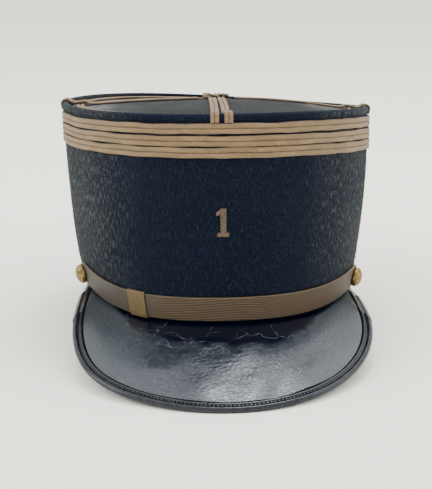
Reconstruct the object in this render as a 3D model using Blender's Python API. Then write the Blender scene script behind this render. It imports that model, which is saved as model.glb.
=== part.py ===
"""Kepi cap: hollow cloth crown, recessed top, braid, chin strap with slide and buttons, leather visor.

The cap frame has its origin at the centre of the crown's base oval, +Z up the crown and -Y to the front.
An empty then tips the cap back until it lies on the front of its visor and the back of its base edge.
Left and right are as seen from the front, so left is -X. All lengths are in metres.
"""
import math

import bmesh
import bpy
import numpy as np
from mathutils import Matrix, Vector

# Crown
BASE_WIDTH = 0.1618
BASE_LENGTH = 0.194
TOP_WIDTH = 0.1834
TOP_LENGTH = 0.1812
TOP_SHIFT = -0.0015
CROWN_HEIGHT = 0.1164
BACK_RISE = 0.0037
LEFT_RISE = 0.0028
RIM_TWIST = 0.0015
SIDE_SWELL = 0.0030
HEM_TUCK = 0.0007
HEM_HEIGHT = 0.014
EDGE_ARCH = 0.0134
EDGE_ARCH_POWER = 5
EDGE_ARCH_LEAN = 0.28
WALL = 0.0025
RIM_ROLL = 0.0042
RIM_ROLL_PROUD = 0.0011

# Top plate
PLATE_RECESS = 0.0038
PLATE_DOME = 0.0062
PLATE_THICKNESS = 0.002

# Braid: two ridges with a groove between them
BRAID_WIDTH = 0.0058
BRAID_THICKNESS = 0.0014
BRAID_GROOVE = 0.0006
BRAID_RINGS = 3
RING_GAP = 0.0004
FIRST_RING_GAP = 0.0004
RINGS_BELOW_RIM = 0.0052
RING_CROWDING = 0.05
TOP_RING_INSET = 0.0035
ARM_WIDTH = 0.0048
ARM_THICKNESS = 0.0013
ARM_SPACING = 0.0066
ARM_CLOSING = 0.0052
KNOT_RADIUS = 0.0092
KNOT_LOOP = 0.0033
KNOT_BAND = 0.0030
KNOT_WEAVE = 0.0011

# Chin strap, slide and buttons
STRAP_WIDTH = 0.0130
STRAP_THICKNESS = 0.0012
STRAP_STANDOFF = 0.0012
STRAP_HEIGHT = 0.0009
STRAP_TAIL = 0.0058
SLIDE_POSITION = -0.0455
SLIDE_LENGTH = 0.0130
SLIDE_THICKNESS = 0.0006
BUTTON_DIAMETER = 0.0114
BUTTON_DEPTH = 0.0046
BUTTON_FORWARD = 0.0362
SHANK_DIAMETER = 0.0024
SHANK_PLAY = 0.0005

# Visor
VISOR_FLARE = 0.0009
VISOR_REACH = 0.0620
VISOR_BROADEST = 0.0769
VISOR_BACK = 0.160
VISOR_ARC = 107.0
VISOR_DROP = 0.0306
VISOR_DROP_ARC = 111.9
VISOR_DROP_POWER = 0.57
VISOR_LEFT_CORNER = 0.0036
VISOR_CORNER_ARC = 54.0
VISOR_CORNER_SPREAD = 24.0
VISOR_STRAIGHTNESS = 0.78
VISOR_THICKNESS = 0.0015
BINDING_WIDTH = 0.0038
BINDING_WALL = 0.0007
BINDING_NOSE = 0.0007
BINDING_SOLE = 0.0008
BINDING_SLACK = 0.0003

# Numeral
NUMERAL_HEIGHT = 0.0152
NUMERAL_WIDTH = 0.0072
NUMERAL_BASE = 0.0470
NUMERAL_THICKNESS = 0.0008

# Clearance between neighbours, and how far soft edges are pressed flat where the cap rests
GAP = 0.0003
SETTLE = 0.0005

# Sections and sides that the pieces are skinned with
AROUND = 60
KNOT_SECTIONS = 56
STRAP_SECTIONS = 41
SLIDE_SECTIONS = 5
VISOR_SECTIONS = 43
VISOR_END_CROWDING = 1.0
BINDING_SHORT_SECTIONS = 3
BUTTON_SIDES = 18
SHANK_SIDES = 12

# Rows of the crown wall as shares of its height, and turns round its rolled rim in degrees
WALL_OUTER_ROWS = (0.0, 0.05, 0.12, 0.28, 0.46, 0.64, 0.82)
WALL_INNER_ROWS = (0.64, 0.28, 0.0)
RIM_ROLL_TURNS = (20.0, 60.0, 100.0, 140.0, 175.0)

# Rows of the plate as shares of the way from its centre to its edge
PLATE_TOP_ROWS = (0.35, 0.75, 1.0)
PLATE_UNDER_ROWS = (1.0, 0.5)

# Braid section: share across the width, share of the thickness
BRAID_SECTION = ((0.0, 0.0), (0.06, 0.62), (0.25, 1.0), (0.5, 0.0), (0.75, 1.0), (0.94, 0.62), (1.0, 0.0))
BRAID_GROOVE_POINT = 3

# Arms: turns over the rolled rim in degrees, places over the top ring and past it in strip widths,
# and shares of the straight run that is left to the knot
ARM_TURNS = (25.0, 65.0, 105.0, 140.0)
ARM_OVER_RING = (-0.72, 0.0, 0.72)
ARM_PAST_RING = 1.7
ARM_RUN_ROWS = (0.33, 0.66, 1.0)

# Where an arm leaves the wall: share of the roll's height, and of what the roll stands proud
ARM_LIFT_DEPTH = 0.8
ARM_LIFT_PROUD = 0.6

# Knot band section: share across the width, share of the height; and its height as a share of an arm's
KNOT_SECTION = ((-0.5, 0.0), (-0.36, 0.85), (0.0, 0.6), (0.36, 0.85), (0.5, 0.0))
KNOT_HEIGHT_SHARE = 0.8

# Strap section with softened edges: share across the width, share of the thickness
STRAP_SECTION = (
    (0.0, 0.3), (0.03, 0.0), (0.97, 0.0), (1.0, 0.3), (1.0, 0.7), (0.97, 1.0), (0.03, 1.0), (0.0, 0.7),
)

# Button: lip at its widest, share of the radius that its back keeps, and turns up its dome in degrees
BUTTON_LIP = 0.0006
BUTTON_BACK_SHARE = 0.94
BUTTON_TURNS = (25.0, 50.0, 72.0)

# Rows of the visor as shares of the way from the wall to its rim
VISOR_ROWS = (0.0, 0.06, 0.22, 0.42, 0.62, 0.82, 1.0)

# Binding section: where its shoulder lies across its width, how much of its height its edge keeps,
# how far its cheek reaches out and up, as shares of its nose and its slot, and the most that it covers
# of the visor's depth at the ends
BINDING_SHOULDER = 0.7
BINDING_EDGE_HEIGHT = 0.94
BINDING_CHEEK_REACH = 0.8
BINDING_CHEEK_RISE = 0.6
BINDING_END_SHARE = 0.75

# Numeral outline: share of the width, share of the height
NUMERAL_OUTLINE = (
    (0.10, 0.00), (0.92, 0.00), (0.92, 0.13), (0.72, 0.18), (0.72, 1.00),
    (0.50, 1.00), (0.08, 0.84), (0.08, 0.76), (0.32, 0.80), (0.32, 0.18), (0.10, 0.13),
)
NUMERAL_MIDDLE = 0.52


def base_half_length():
    return BASE_LENGTH / 2


def hem_back():
    """Distance from the base's centre back to the crown's lower edge."""
    return base_half_length() - HEM_TUCK


def visor_tip():
    """Distance from the base's centre forward to the visor's tip, along the cap frame."""
    return base_half_length() + VISOR_REACH


def tilt():
    """Angle that the cap tips back by, lying on its visor's tip and its back base edge."""
    sheet_middle = GAP + VISOR_THICKNESS / 2 + VISOR_DROP
    under = sheet_middle + VISOR_THICKNESS / 2 + GAP + BINDING_WALL
    return math.atan2(under, visor_tip() + hem_back())


def rim_height(theta):
    """Height of the crown's rim in each direction: taller at the back and the left, with a slight twist."""
    return (CROWN_HEIGHT + BACK_RISE * np.sin(theta) - LEFT_RISE * np.cos(theta)
            - RIM_TWIST * np.sin(2 * theta))


def edge_height(theta):
    """Height of the crown's lower edge: level at front and back, arched at the sides, more at the left."""
    side = np.abs(np.cos(theta)) ** EDGE_ARCH_POWER
    return EDGE_ARCH * side * (1 - EDGE_ARCH_LEAN * np.cos(theta))


def wall_point(theta, share, out=0.0):
    """Point on the crown's outer face at a share of its full height, moved out from it by a distance."""
    swell = SIDE_SWELL * 4 * share * (1 - share)
    height = share * rim_height(theta)
    over_edge = height - edge_height(theta)
    tuck = HEM_TUCK * np.clip(1 - over_edge / HEM_HEIGHT, 0, 1) ** 2
    grow = swell - tuck + out
    across = BASE_WIDTH / 2 + (TOP_WIDTH - BASE_WIDTH) / 2 * share + grow
    along = BASE_LENGTH / 2 + (TOP_LENGTH - BASE_LENGTH) / 2 * share + grow
    x = across * np.cos(theta)
    y = TOP_SHIFT * share + along * np.sin(theta)
    return np.stack(np.broadcast_arrays(x, y, height), axis=-1)


def below_rim(theta, depth, out=0.0):
    """Point on the crown's outer face at a depth under the rim."""
    return wall_point(theta, 1 - depth / rim_height(theta), out)


def above_edge(theta, height, out=0.0):
    """Point on the crown's outer face at a height over its lower edge."""
    return wall_point(theta, (edge_height(theta) + height) / rim_height(theta), out)


def wall_row(theta, share, out=0.0):
    """Row of points round the crown at a share of the way from its lower edge up to its rim."""
    return above_edge(theta, share * (rim_height(theta) - edge_height(theta)), out)


def wall_normal(theta):
    """Level outward direction of the crown at an angle."""
    direction = np.stack([np.cos(theta) / BASE_WIDTH, np.sin(theta) / BASE_LENGTH, 0 * theta], axis=-1)
    return direction / np.linalg.norm(direction, axis=-1, keepdims=True)


def plate_height(theta, share):
    """Top face of the plate at a share of the way from its centre to the rim."""
    edge = rim_height(theta) - PLATE_RECESS
    middle = CROWN_HEIGHT - PLATE_RECESS
    return middle + (edge - middle) * share ** 2 + PLATE_DOME * (1 - share ** 2)


def plate_margin():
    """Distance from the wall's outer face in to the plate's edge."""
    return max(WALL, RIM_ROLL - RIM_ROLL_PROUD) + GAP


def material(name, colour, roughness, metallic=0.0):
    surface = bpy.data.materials.new(name)
    surface.use_nodes = True
    shader = surface.node_tree.nodes["Principled BSDF"]
    shader.inputs["Base Color"].default_value = (*colour, 1.0)
    shader.inputs["Roughness"].default_value = roughness
    shader.inputs["Metallic"].default_value = metallic
    return surface


def add_object(name, mesh_data, surface, root, smooth=35.0):
    """Close up a bmesh, point its faces outward and make it an object under the cap's empty."""
    bmesh.ops.recalc_face_normals(mesh_data, faces=mesh_data.faces)
    mesh = bpy.data.meshes.new(name)
    mesh_data.to_mesh(mesh)
    mesh_data.free()
    mesh.shade_smooth()
    mesh.set_sharp_from_angle(angle=math.radians(smooth))
    mesh.materials.append(surface)
    piece = bpy.data.objects.new(name, mesh)
    bpy.context.scene.collection.objects.link(piece)
    piece.parent = root
    return piece


def bridge(mesh_data, first, second):
    count = len(first)
    for k in range(count):
        after = (k + 1) % count
        mesh_data.faces.new((first[k], first[after], second[after], second[k]))


def sweep(sections, closed):
    """Skin a row of closed sections, joined end to end or finished with flat ends."""
    mesh_data = bmesh.new()
    loops = [[mesh_data.verts.new(point) for point in section] for section in sections]
    for first, second in zip(loops, loops[1:]):
        bridge(mesh_data, first, second)
    if closed:
        bridge(mesh_data, loops[-1], loops[0])
    else:
        mesh_data.faces.new(loops[0])
        mesh_data.faces.new(loops[-1])
    return mesh_data


def domed(rings, first_pole, last_pole):
    """Skin a row of rings and close both ends on a point."""
    mesh_data = bmesh.new()
    loops = [[mesh_data.verts.new(point) for point in ring] for ring in rings]
    for first, second in zip(loops, loops[1:]):
        bridge(mesh_data, first, second)
    for loop, pole in ((loops[0], first_pole), (loops[-1], last_pole)):
        tip = mesh_data.verts.new(pole)
        for k in range(len(loop)):
            mesh_data.faces.new((tip, loop[k], loop[(k + 1) % len(loop)]))
    return mesh_data


def ring_angles():
    return np.arange(AROUND) * 2 * math.pi / AROUND


def make_crown_wall(surface, root):
    """Cloth wall with an open base and a rolled rim, skinned as one closed section carried round."""
    theta = ring_angles()
    roll = RIM_ROLL / 2
    rows = [wall_row(theta, share) for share in WALL_OUTER_ROWS]
    rows.append(below_rim(theta, RIM_ROLL))
    for turn in RIM_ROLL_TURNS:
        angle = math.radians(turn)
        out = RIM_ROLL_PROUD - roll + roll * math.cos(angle)
        rows.append(below_rim(theta, roll - roll * math.sin(angle), out))
    rows.append(below_rim(theta, RIM_ROLL, -WALL))
    for share in WALL_INNER_ROWS:
        rows.append(wall_row(theta, share, -WALL))
    sections = np.stack(rows, axis=1)
    return add_object("crown_wall", sweep(sections, closed=True), surface, root)


def make_top_plate(surface, root):
    """Domed oval plate that fits inside the wall below the rolled rim."""
    theta = ring_angles()
    edge = below_rim(theta, PLATE_RECESS, -plate_margin())
    centre = np.array([0.0, TOP_SHIFT, 0.0])

    def ring(share, lower):
        points = centre + (edge - centre) * share
        points[:, 2] = plate_height(theta, share) - lower
        return points

    rings = [ring(share, 0.0) for share in PLATE_TOP_ROWS]
    rings += [ring(share, PLATE_THICKNESS) for share in PLATE_UNDER_ROWS]
    middle = CROWN_HEIGHT - PLATE_RECESS + PLATE_DOME
    top = (0.0, TOP_SHIFT, middle)
    bottom = (0.0, TOP_SHIFT, middle - PLATE_THICKNESS)
    return add_object("top_plate", domed(rings, top, bottom), surface, root)


def braid_profile(width, thickness):
    """Points across a braid: distance across it and height off its underside."""
    points = []
    for number, (across, rise) in enumerate(BRAID_SECTION):
        height = max(thickness - BRAID_GROOVE, 0.0) if number == BRAID_GROOVE_POINT else rise * thickness
        points.append((across * width, height))
    return points


def make_braid_rings(surface, root):
    """Flat braid rings round the crown, one under the other."""
    theta = ring_angles()
    crowd = 1 + RING_CROWDING * np.cos(theta)
    start = 0.0
    for number in range(BRAID_RINGS):
        rows = []
        for across, rise in braid_profile(BRAID_WIDTH, BRAID_THICKNESS):
            rows.append(below_rim(theta, RINGS_BELOW_RIM + (start + across) * crowd, GAP + rise))
        sections = np.stack(rows, axis=1)
        add_object(f"galon_{number + 1}", sweep(sections, closed=True), surface, root)
        start += BRAID_WIDTH + RING_GAP
        if number == 0:
            start += FIRST_RING_GAP


def over_plate(x, y, lift):
    """Point at a height over the plate's top face."""
    x, y = np.asarray(x), np.asarray(y)
    across = TOP_WIDTH / 2 - plate_margin()
    along = TOP_LENGTH / 2 - plate_margin()
    share = np.hypot(x / across, (y - TOP_SHIFT) / along)
    theta = np.arctan2((y - TOP_SHIFT) / along, x / across)
    return np.stack([x, y, plate_height(theta, share) + lift], axis=-1)


def plate_point(theta, inset, lift):
    """Point over the plate, a distance in from the plate's edge."""
    across = TOP_WIDTH / 2 - plate_margin() - inset
    along = TOP_LENGTH / 2 - plate_margin() - inset
    return over_plate(across * np.cos(theta), TOP_SHIFT + along * np.sin(theta), lift)


def make_top_ring(surface, root):
    """Braid laid as an oval on the plate, just inside the rim."""
    theta = ring_angles()
    rows = [plate_point(theta, TOP_RING_INSET + across, GAP + rise)
            for across, rise in braid_profile(ARM_WIDTH, ARM_THICKNESS)]
    return add_object("top_ring", sweep(np.stack(rows, axis=1), closed=True), surface, root)


def arm_path(facing, side):
    """Centre line of one strip of an arm pair: up the wall, over the rim, and in along the plate.

    facing is the pair's direction and side the strip's place in it. Each point has its outward normal.
    """
    roll = RIM_ROLL / 2
    cross_size = BASE_WIDTH / 2 if abs(math.sin(facing)) > 0.5 else BASE_LENGTH / 2
    lateral = side * ARM_SPACING / 2
    theta = facing + math.asin(lateral / cross_size)
    level = wall_normal(np.array([facing]))[0]
    up = np.array([0.0, 0.0, 1.0])
    stops = []
    stops.append((below_rim(theta, RINGS_BELOW_RIM - GAP, GAP), level))
    proud = RIM_ROLL_PROUD * ARM_LIFT_PROUD
    stops.append((below_rim(theta, RIM_ROLL * ARM_LIFT_DEPTH, proud + GAP), level))
    for turn in ARM_TURNS:
        angle = math.radians(turn)
        normal = math.cos(angle) * level + math.sin(angle) * up
        reach = roll + GAP
        out = RIM_ROLL_PROUD - roll + reach * math.cos(angle)
        stops.append((below_rim(theta, roll - reach * math.sin(angle), out), normal))
    clear_ring = ARM_THICKNESS + GAP
    ring_middle = TOP_RING_INSET + ARM_WIDTH / 2
    for widths in ARM_OVER_RING:
        stops.append((plate_point(theta, ring_middle + ARM_WIDTH * widths, clear_ring + GAP), up))
    settle = plate_point(theta, ring_middle + ARM_WIDTH * ARM_PAST_RING, GAP)
    stops.append((settle, up))
    tangent = np.cross(up, level)
    inner = level * (KNOT_RADIUS + KNOT_BAND / 2 + 2 * GAP) + tangent * side * ARM_CLOSING / 2
    inner[1] += TOP_SHIFT
    for way in ARM_RUN_ROWS:
        place = settle + (inner - settle) * way
        stops.append((over_plate(place[0], place[1], GAP), up))
    return stops, tangent


def make_arms(surface, root):
    """Eight strips in four pairs, from the first ring over the rim to the knot."""
    facings = (("front", -90.0), ("right", 0.0), ("back", 90.0), ("left", 180.0))
    for facing_name, degrees in facings:
        for side, letter in ((-1, "a"), (1, "b")):
            stops, tangent = arm_path(math.radians(degrees), side)
            sections = []
            for point, normal in stops:
                section = [point + tangent * (across - ARM_WIDTH / 2) + normal * rise
                           for across, rise in braid_profile(ARM_WIDTH, ARM_THICKNESS)]
                sections.append(section)
            add_object(f"arm_{facing_name}_{letter}", sweep(sections, closed=False), surface, root)


def make_centre_knot(surface, root):
    """Four-looped knot: one endless band that passes over and under itself at each crossing.

    Its path is a circle's with a second circle turning three times the other way, and it rises and
    falls four times on its way round.
    """
    turn = np.arange(KNOT_SECTIONS) * 2 * math.pi / KNOT_SECTIONS
    outer = KNOT_RADIUS - KNOT_LOOP
    x = outer * np.cos(turn + math.pi / 4) + KNOT_LOOP * np.cos(3 * turn - math.pi / 4)
    y = outer * np.sin(turn + math.pi / 4) - KNOT_LOOP * np.sin(3 * turn - math.pi / 4)
    lift = KNOT_WEAVE * np.sin(4 * turn)
    seat = CROWN_HEIGHT - PLATE_RECESS + PLATE_DOME + GAP + KNOT_WEAVE
    path = np.stack([x, y + TOP_SHIFT, seat + lift], axis=1)
    along = np.roll(path, -1, axis=0) - np.roll(path, 1, axis=0)
    along /= np.linalg.norm(along, axis=1, keepdims=True)
    side = np.cross(along, (0.0, 0.0, 1.0))
    side /= np.linalg.norm(side, axis=1, keepdims=True)
    up = np.cross(side, along)
    height = ARM_THICKNESS * KNOT_HEIGHT_SHARE
    rows = [path + side * across * KNOT_BAND + up * rise * height for across, rise in KNOT_SECTION]
    sections = np.stack(rows, axis=1)
    return add_object("centre_knot", sweep(sections, closed=True), surface, root)


def button_angle():
    """Angle of the right button round the base oval; the left one mirrors it."""
    return -math.asin(BUTTON_FORWARD / base_half_length())


def strap_section(theta):
    """Section of the strap at an angle round the crown, along whose lower edge it runs."""
    return [above_edge(theta, STRAP_HEIGHT + across * STRAP_WIDTH, STRAP_STANDOFF + rise * STRAP_THICKNESS)
            for across, rise in STRAP_SECTION]


def shank_hole(side, root):
    """Cutter for the hole that a button's shank passes through."""
    seat, normal = button_seat(side)
    radius = SHANK_DIAMETER / 2 + SHANK_PLAY
    depth = 2 * (BUTTON_DEPTH + STRAP_STANDOFF)
    hole = bmesh.new()
    bmesh.ops.create_cone(hole, cap_ends=True, segments=SHANK_SIDES, radius1=radius, radius2=radius,
                          depth=depth)
    mesh = bpy.data.meshes.new("shank_hole")
    hole.to_mesh(mesh)
    hole.free()
    cutter = bpy.data.objects.new("shank_hole", mesh)
    bpy.context.scene.collection.objects.link(cutter)
    cutter.parent = root
    cutter.matrix_local = Matrix.Translation(seat) @ normal.to_track_quat("Z", "X").to_matrix().to_4x4()
    cutter.hide_render = True
    cutter.display_type = "WIRE"
    return cutter


def make_chin_strap(surface, root):
    """Flat lace band from just past one button to just past the other, with a hole for each shank."""
    end = button_angle() + STRAP_TAIL / base_half_length()
    angles = np.linspace(-math.pi - end, end, STRAP_SECTIONS)
    sections = [strap_section(theta) for theta in angles]
    strap = add_object("chin_strap", sweep(sections, closed=False), surface, root)
    for side in (-1, 1):
        cut = strap.modifiers.new("shank_hole", "BOOLEAN")
        cut.operation = "DIFFERENCE"
        cut.solver = "EXACT"
        cut.object = shank_hole(side, root)
    return strap


def make_strap_slide(surface, root):
    """Flat loop that runs round the strap on the left."""
    middle = -math.pi / 2 + math.asin(SLIDE_POSITION / (BASE_WIDTH / 2))
    reach = math.atan2(SLIDE_LENGTH / 2, base_half_length())
    near = STRAP_STANDOFF - GAP
    far = STRAP_STANDOFF + STRAP_THICKNESS + GAP
    skin = SLIDE_THICKNESS
    outer, inner = [], []
    for theta in np.linspace(middle - reach, middle + reach, SLIDE_SECTIONS):
        low = STRAP_HEIGHT - GAP
        high = low + STRAP_WIDTH + 2 * GAP
        corners = ((low, near), (low, far), (high, far), (high, near))
        shell = ((low - skin, near - skin), (low - skin, far + skin), (high + skin, far + skin),
                 (high + skin, near - skin))
        inner.append([above_edge(theta, height, out) for height, out in corners])
        outer.append([above_edge(theta, height, out) for height, out in shell])
    return add_object("strap_slide", sweep(outer + inner[::-1], closed=True), surface, root)


def button_seat(side):
    """Place of a button on the wall, behind the strap's middle, and its outward direction."""
    theta = button_angle() if side > 0 else -math.pi - button_angle()
    height = STRAP_HEIGHT + STRAP_WIDTH / 2
    step = BUTTON_DIAMETER / 2
    turn = step / base_half_length()
    seat = above_edge(theta, height)
    along = above_edge(theta + turn, height) - above_edge(theta - turn, height)
    up = above_edge(theta, height + step) - above_edge(theta, height - step)
    return Vector(seat), Vector(np.cross(along, up)).normalized()


def make_buttons(surface, root):
    """Domed buttons on a short shank, turned as a profile about their axis."""
    back = STRAP_STANDOFF + STRAP_THICKNESS + GAP
    radius = BUTTON_DIAMETER / 2
    shank = SHANK_DIAMETER / 2
    dome = BUTTON_DEPTH - BUTTON_LIP
    widest = back + BUTTON_LIP
    profile = [(shank, GAP), (shank, back), (radius * BUTTON_BACK_SHARE, back), (radius, widest)]
    for turn in BUTTON_TURNS:
        angle = math.radians(turn)
        profile.append((radius * math.cos(angle), widest + dome * math.sin(angle)))
    around = np.arange(BUTTON_SIDES) * 2 * math.pi / BUTTON_SIDES
    rings = [np.stack([reach * np.cos(around), reach * np.sin(around), out + 0 * around], axis=1)
             for reach, out in profile]
    for side, name in ((-1, "button_left"), (1, "button_right")):
        seat, normal = button_seat(side)
        body = domed(rings, (0.0, 0.0, GAP), (0.0, 0.0, widest + dome))
        button = add_object(name, body, surface, root)
        button.matrix_local = Matrix.Translation(seat) @ normal.to_track_quat("Z", "X").to_matrix().to_4x4()


def visor_rim(phi):
    """Outer edge of the visor: an egg-shaped arc from end to end, dropping most at the tip.

    Its front left corner is pushed out a little, as an old visor's is.
    """
    reach = visor_tip() - VISOR_BROADEST
    depth = np.where(np.cos(phi) > 0, reach, VISOR_BACK)
    past_corner = (np.degrees(phi) + VISOR_CORNER_ARC) / VISOR_CORNER_SPREAD
    corner = VISOR_LEFT_CORNER * np.exp(-past_corner ** 2)
    x = (BASE_WIDTH / 2 + VISOR_FLARE) * np.sin(phi) - corner * math.sin(math.radians(VISOR_CORNER_ARC))
    y = -VISOR_BROADEST - depth * np.cos(phi) - corner * math.cos(math.radians(VISOR_CORNER_ARC))
    turn = np.clip(np.abs(phi) / math.radians(VISOR_DROP_ARC), 0, 1)
    drop = VISOR_DROP * ((1 + np.cos(math.pi * turn)) / 2) ** VISOR_DROP_POWER
    return x, y, drop


def visor_join(phi):
    """Angle round the base oval that a visor radius starts from."""
    end = math.radians(VISOR_ARC)
    spread = math.acos((VISOR_BROADEST + VISOR_BACK * math.cos(end)) / base_half_length())
    return -math.pi / 2 + phi / end * spread


def visor_point(phi, share, lift):
    """Point of the visor: share 0 at the wall and 1 at the rim, lifted off the sheet's middle."""
    start = above_edge(visor_join(phi), 0.0)
    x, y, drop = visor_rim(phi)
    fall = drop * (VISOR_STRAIGHTNESS * share + (1 - VISOR_STRAIGHTNESS) * share ** 2)
    seat = start[2] - GAP - VISOR_THICKNESS / 2
    across = start[0] + (x - start[0]) * share
    along = start[1] + (y - start[1]) * share
    return np.array([across, along, seat - fall + lift])


def visor_frame(phi, share):
    """Point and upward normal of the visor's middle surface."""
    step = 1e-4
    point = visor_point(phi, share, 0.0)
    out = visor_point(phi, share + step, 0.0) - visor_point(phi, share - step, 0.0)
    along = visor_point(phi + step, share, 0.0) - visor_point(phi - step, share, 0.0)
    normal = np.cross(along, out)
    normal /= np.linalg.norm(normal)
    if normal[2] < 0:
        normal = -normal
    return point, normal


def visor_angles():
    """Angles of the visor's sections, closer together towards its ends, where it bends most."""
    way = np.sin(np.linspace(-1, 1, VISOR_SECTIONS) * VISOR_END_CROWDING)
    return math.radians(VISOR_ARC) * way / way[-1]


def make_visor(surface, root):
    """Curved leather sheet, sewn under the wall's front edge."""
    half = VISOR_THICKNESS / 2
    sections = []
    for phi in visor_angles():
        theta = visor_join(phi)
        tucked = above_edge(theta, 0.0, -WALL)
        tucked[2] -= GAP + half
        rise = np.array([0.0, 0.0, half])
        top = [tucked + rise]
        under = [tucked - rise]
        for share in VISOR_ROWS:
            point, normal = visor_frame(phi, share)
            if share == 0.0:
                normal = np.array([0.0, 0.0, 1.0])
            top.append(point + normal * half)
            under.append(point - normal * half)
        sections.append(top + under[::-1])
    return add_object("visor", sweep(sections, closed=False), surface, root)


def depth_behind_rim(phi):
    """Depth of the visor from the wall out to its rim, square to the rim."""
    step = 1e-4
    along = visor_point(phi + step, 1.0, 0.0) - visor_point(phi - step, 1.0, 0.0)
    out = visor_point(phi, 1.0, 0.0) - visor_point(phi, 0.0, 0.0)
    return np.linalg.norm(np.cross(along, out)) / np.linalg.norm(along)


def make_visor_binding(surface, root):
    """Rounded leather edge folded over the visor's rim, as a hooked section carried along it.

    It narrows towards the ends, where the visor itself runs out.
    """
    slot = VISOR_THICKNESS / 2 + GAP
    skin = slot + BINDING_WALL
    nose = GAP + BINDING_WALL + BINDING_NOSE
    fold = GAP + BINDING_SLACK
    edge = BINDING_WIDTH
    shoulder = BINDING_WIDTH * BINDING_SHOULDER
    soft = skin * BINDING_EDGE_HEIGHT
    cheek = nose * BINDING_CHEEK_REACH
    rise = slot * BINDING_CHEEK_RISE
    section = ((-edge, slot), (-edge, soft), (-shoulder, skin), (0.0, skin), (cheek, rise), (nose, 0.0),
               (cheek, -rise), (0.0, -skin), (-BINDING_SOLE, -skin), (-shoulder, -skin), (-edge, -soft),
               (-edge, -slot), (fold, -slot), (fold, slot))
    sections = []
    for phi in visor_angles()[BINDING_SHORT_SECTIONS:-BINDING_SHORT_SECTIONS]:
        depth = depth_behind_rim(phi)
        narrowing = min(1.0, BINDING_END_SHARE * depth / BINDING_WIDTH)
        row = []
        for reach, lift in section:
            inward = narrowing if reach < 0 else 1.0
            point, normal = visor_frame(phi, 1 + reach * inward / depth)
            row.append(point + normal * lift)
        sections.append(row)
    return add_object("visor_binding", sweep(sections, closed=False), surface, root)


def make_numeral(surface, root):
    """Plain numeral one, a flat raised shape that follows the wall."""
    mesh_data = bmesh.new()
    loops = []
    for out in (GAP, GAP + NUMERAL_THICKNESS):
        loop = []
        for across, rise in NUMERAL_OUTLINE:
            offset = (across - NUMERAL_MIDDLE) * NUMERAL_WIDTH
            theta = -math.pi / 2 + math.asin(offset / (BASE_WIDTH / 2))
            loop.append(mesh_data.verts.new(above_edge(theta, NUMERAL_BASE + rise * NUMERAL_HEIGHT, out)))
        loops.append(loop)
    bridge(mesh_data, loops[0], loops[1])
    for loop in loops:
        mesh_data.faces.new(loop)
    return add_object("numeral", mesh_data, surface, root)


def settle_on_surface(root):
    """Tip the cap back, press it flat where it rests and centre its footprint on the origin."""
    angle = tilt()
    root.rotation_euler = (-angle, 0.0, 0.0)
    root.location = (0.0, 0.0, hem_back() * math.sin(angle) - SETTLE)
    bpy.context.view_layer.update()
    low = Vector((math.inf,) * 3)
    high = Vector((-math.inf,) * 3)
    for piece in root.children:
        if piece.hide_render:
            continue
        to_world = piece.matrix_world
        to_local = to_world.inverted()
        for vertex in piece.data.vertices:
            place = to_world @ vertex.co
            if place.z < 0:
                place.z = 0.0
                vertex.co = to_local @ place
            low = Vector(map(min, low, place))
            high = Vector(map(max, high, place))
    root.location.x -= (low.x + high.x) / 2
    root.location.y -= (low.y + high.y) / 2


def main():
    for existing in list(bpy.data.objects):
        bpy.data.objects.remove(existing, do_unlink=True)
    cloth = material("navy_wool", (0.006, 0.011, 0.018), 0.95)
    braid = material("tan_braid", (0.33, 0.24, 0.14), 0.8)
    lace = material("brown_lace", (0.20, 0.13, 0.075), 0.75)
    slide_lace = material("ochre_lace", (0.34, 0.22, 0.10), 0.75)
    brass = material("aged_brass", (0.55, 0.38, 0.13), 0.35, 1.0)
    leather = material("black_patent_leather", (0.008, 0.008, 0.009), 0.15)
    thread = material("tan_thread", (0.40, 0.28, 0.16), 0.8)
    root = bpy.data.objects.new("cap_root", None)
    bpy.context.scene.collection.objects.link(root)
    make_crown_wall(cloth, root)
    make_top_plate(cloth, root)
    make_braid_rings(braid, root)
    make_top_ring(braid, root)
    make_arms(braid, root)
    make_centre_knot(braid, root)
    make_chin_strap(lace, root)
    make_strap_slide(slide_lace, root)
    make_buttons(brass, root)
    make_visor(leather, root)
    make_visor_binding(leather, root)
    make_numeral(thread, root)
    settle_on_surface(root)


main()
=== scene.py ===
"""Kepi cap: the cloth, braid, lace, brass and patent leather of a stiff military cap, laid over its solids.

The cap frame has its origin at the centre of the crown's base oval, +Z up the crown and -Y to the front.
The finished cap is tipped back and lies on the front of its visor and the back of its lower edge, as the
solids do. Sizes are in metres. Left and right are as seen from the front, so left is -X.
"""
import math

import bpy
import numpy as np
from mathutils import Matrix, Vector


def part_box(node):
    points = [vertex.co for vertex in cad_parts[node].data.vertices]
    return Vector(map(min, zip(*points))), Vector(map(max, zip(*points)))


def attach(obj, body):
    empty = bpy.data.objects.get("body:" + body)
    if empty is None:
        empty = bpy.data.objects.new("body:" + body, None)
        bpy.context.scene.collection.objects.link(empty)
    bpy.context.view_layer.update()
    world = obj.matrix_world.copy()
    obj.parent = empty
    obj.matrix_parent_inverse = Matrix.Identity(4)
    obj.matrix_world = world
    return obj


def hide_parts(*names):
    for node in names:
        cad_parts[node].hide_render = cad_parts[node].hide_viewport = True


bl_info = {
    "name": "Kepi Cap",
    "version": (1, 0, 0),
    "blender": (4, 5, 0),
    "location": "3D View > Sidebar > Kepi",
    "description": "Builds a wool kepi with braid, a lace chin strap, brass buttons and a leather visor",
    "category": "Add Mesh",
}

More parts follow.
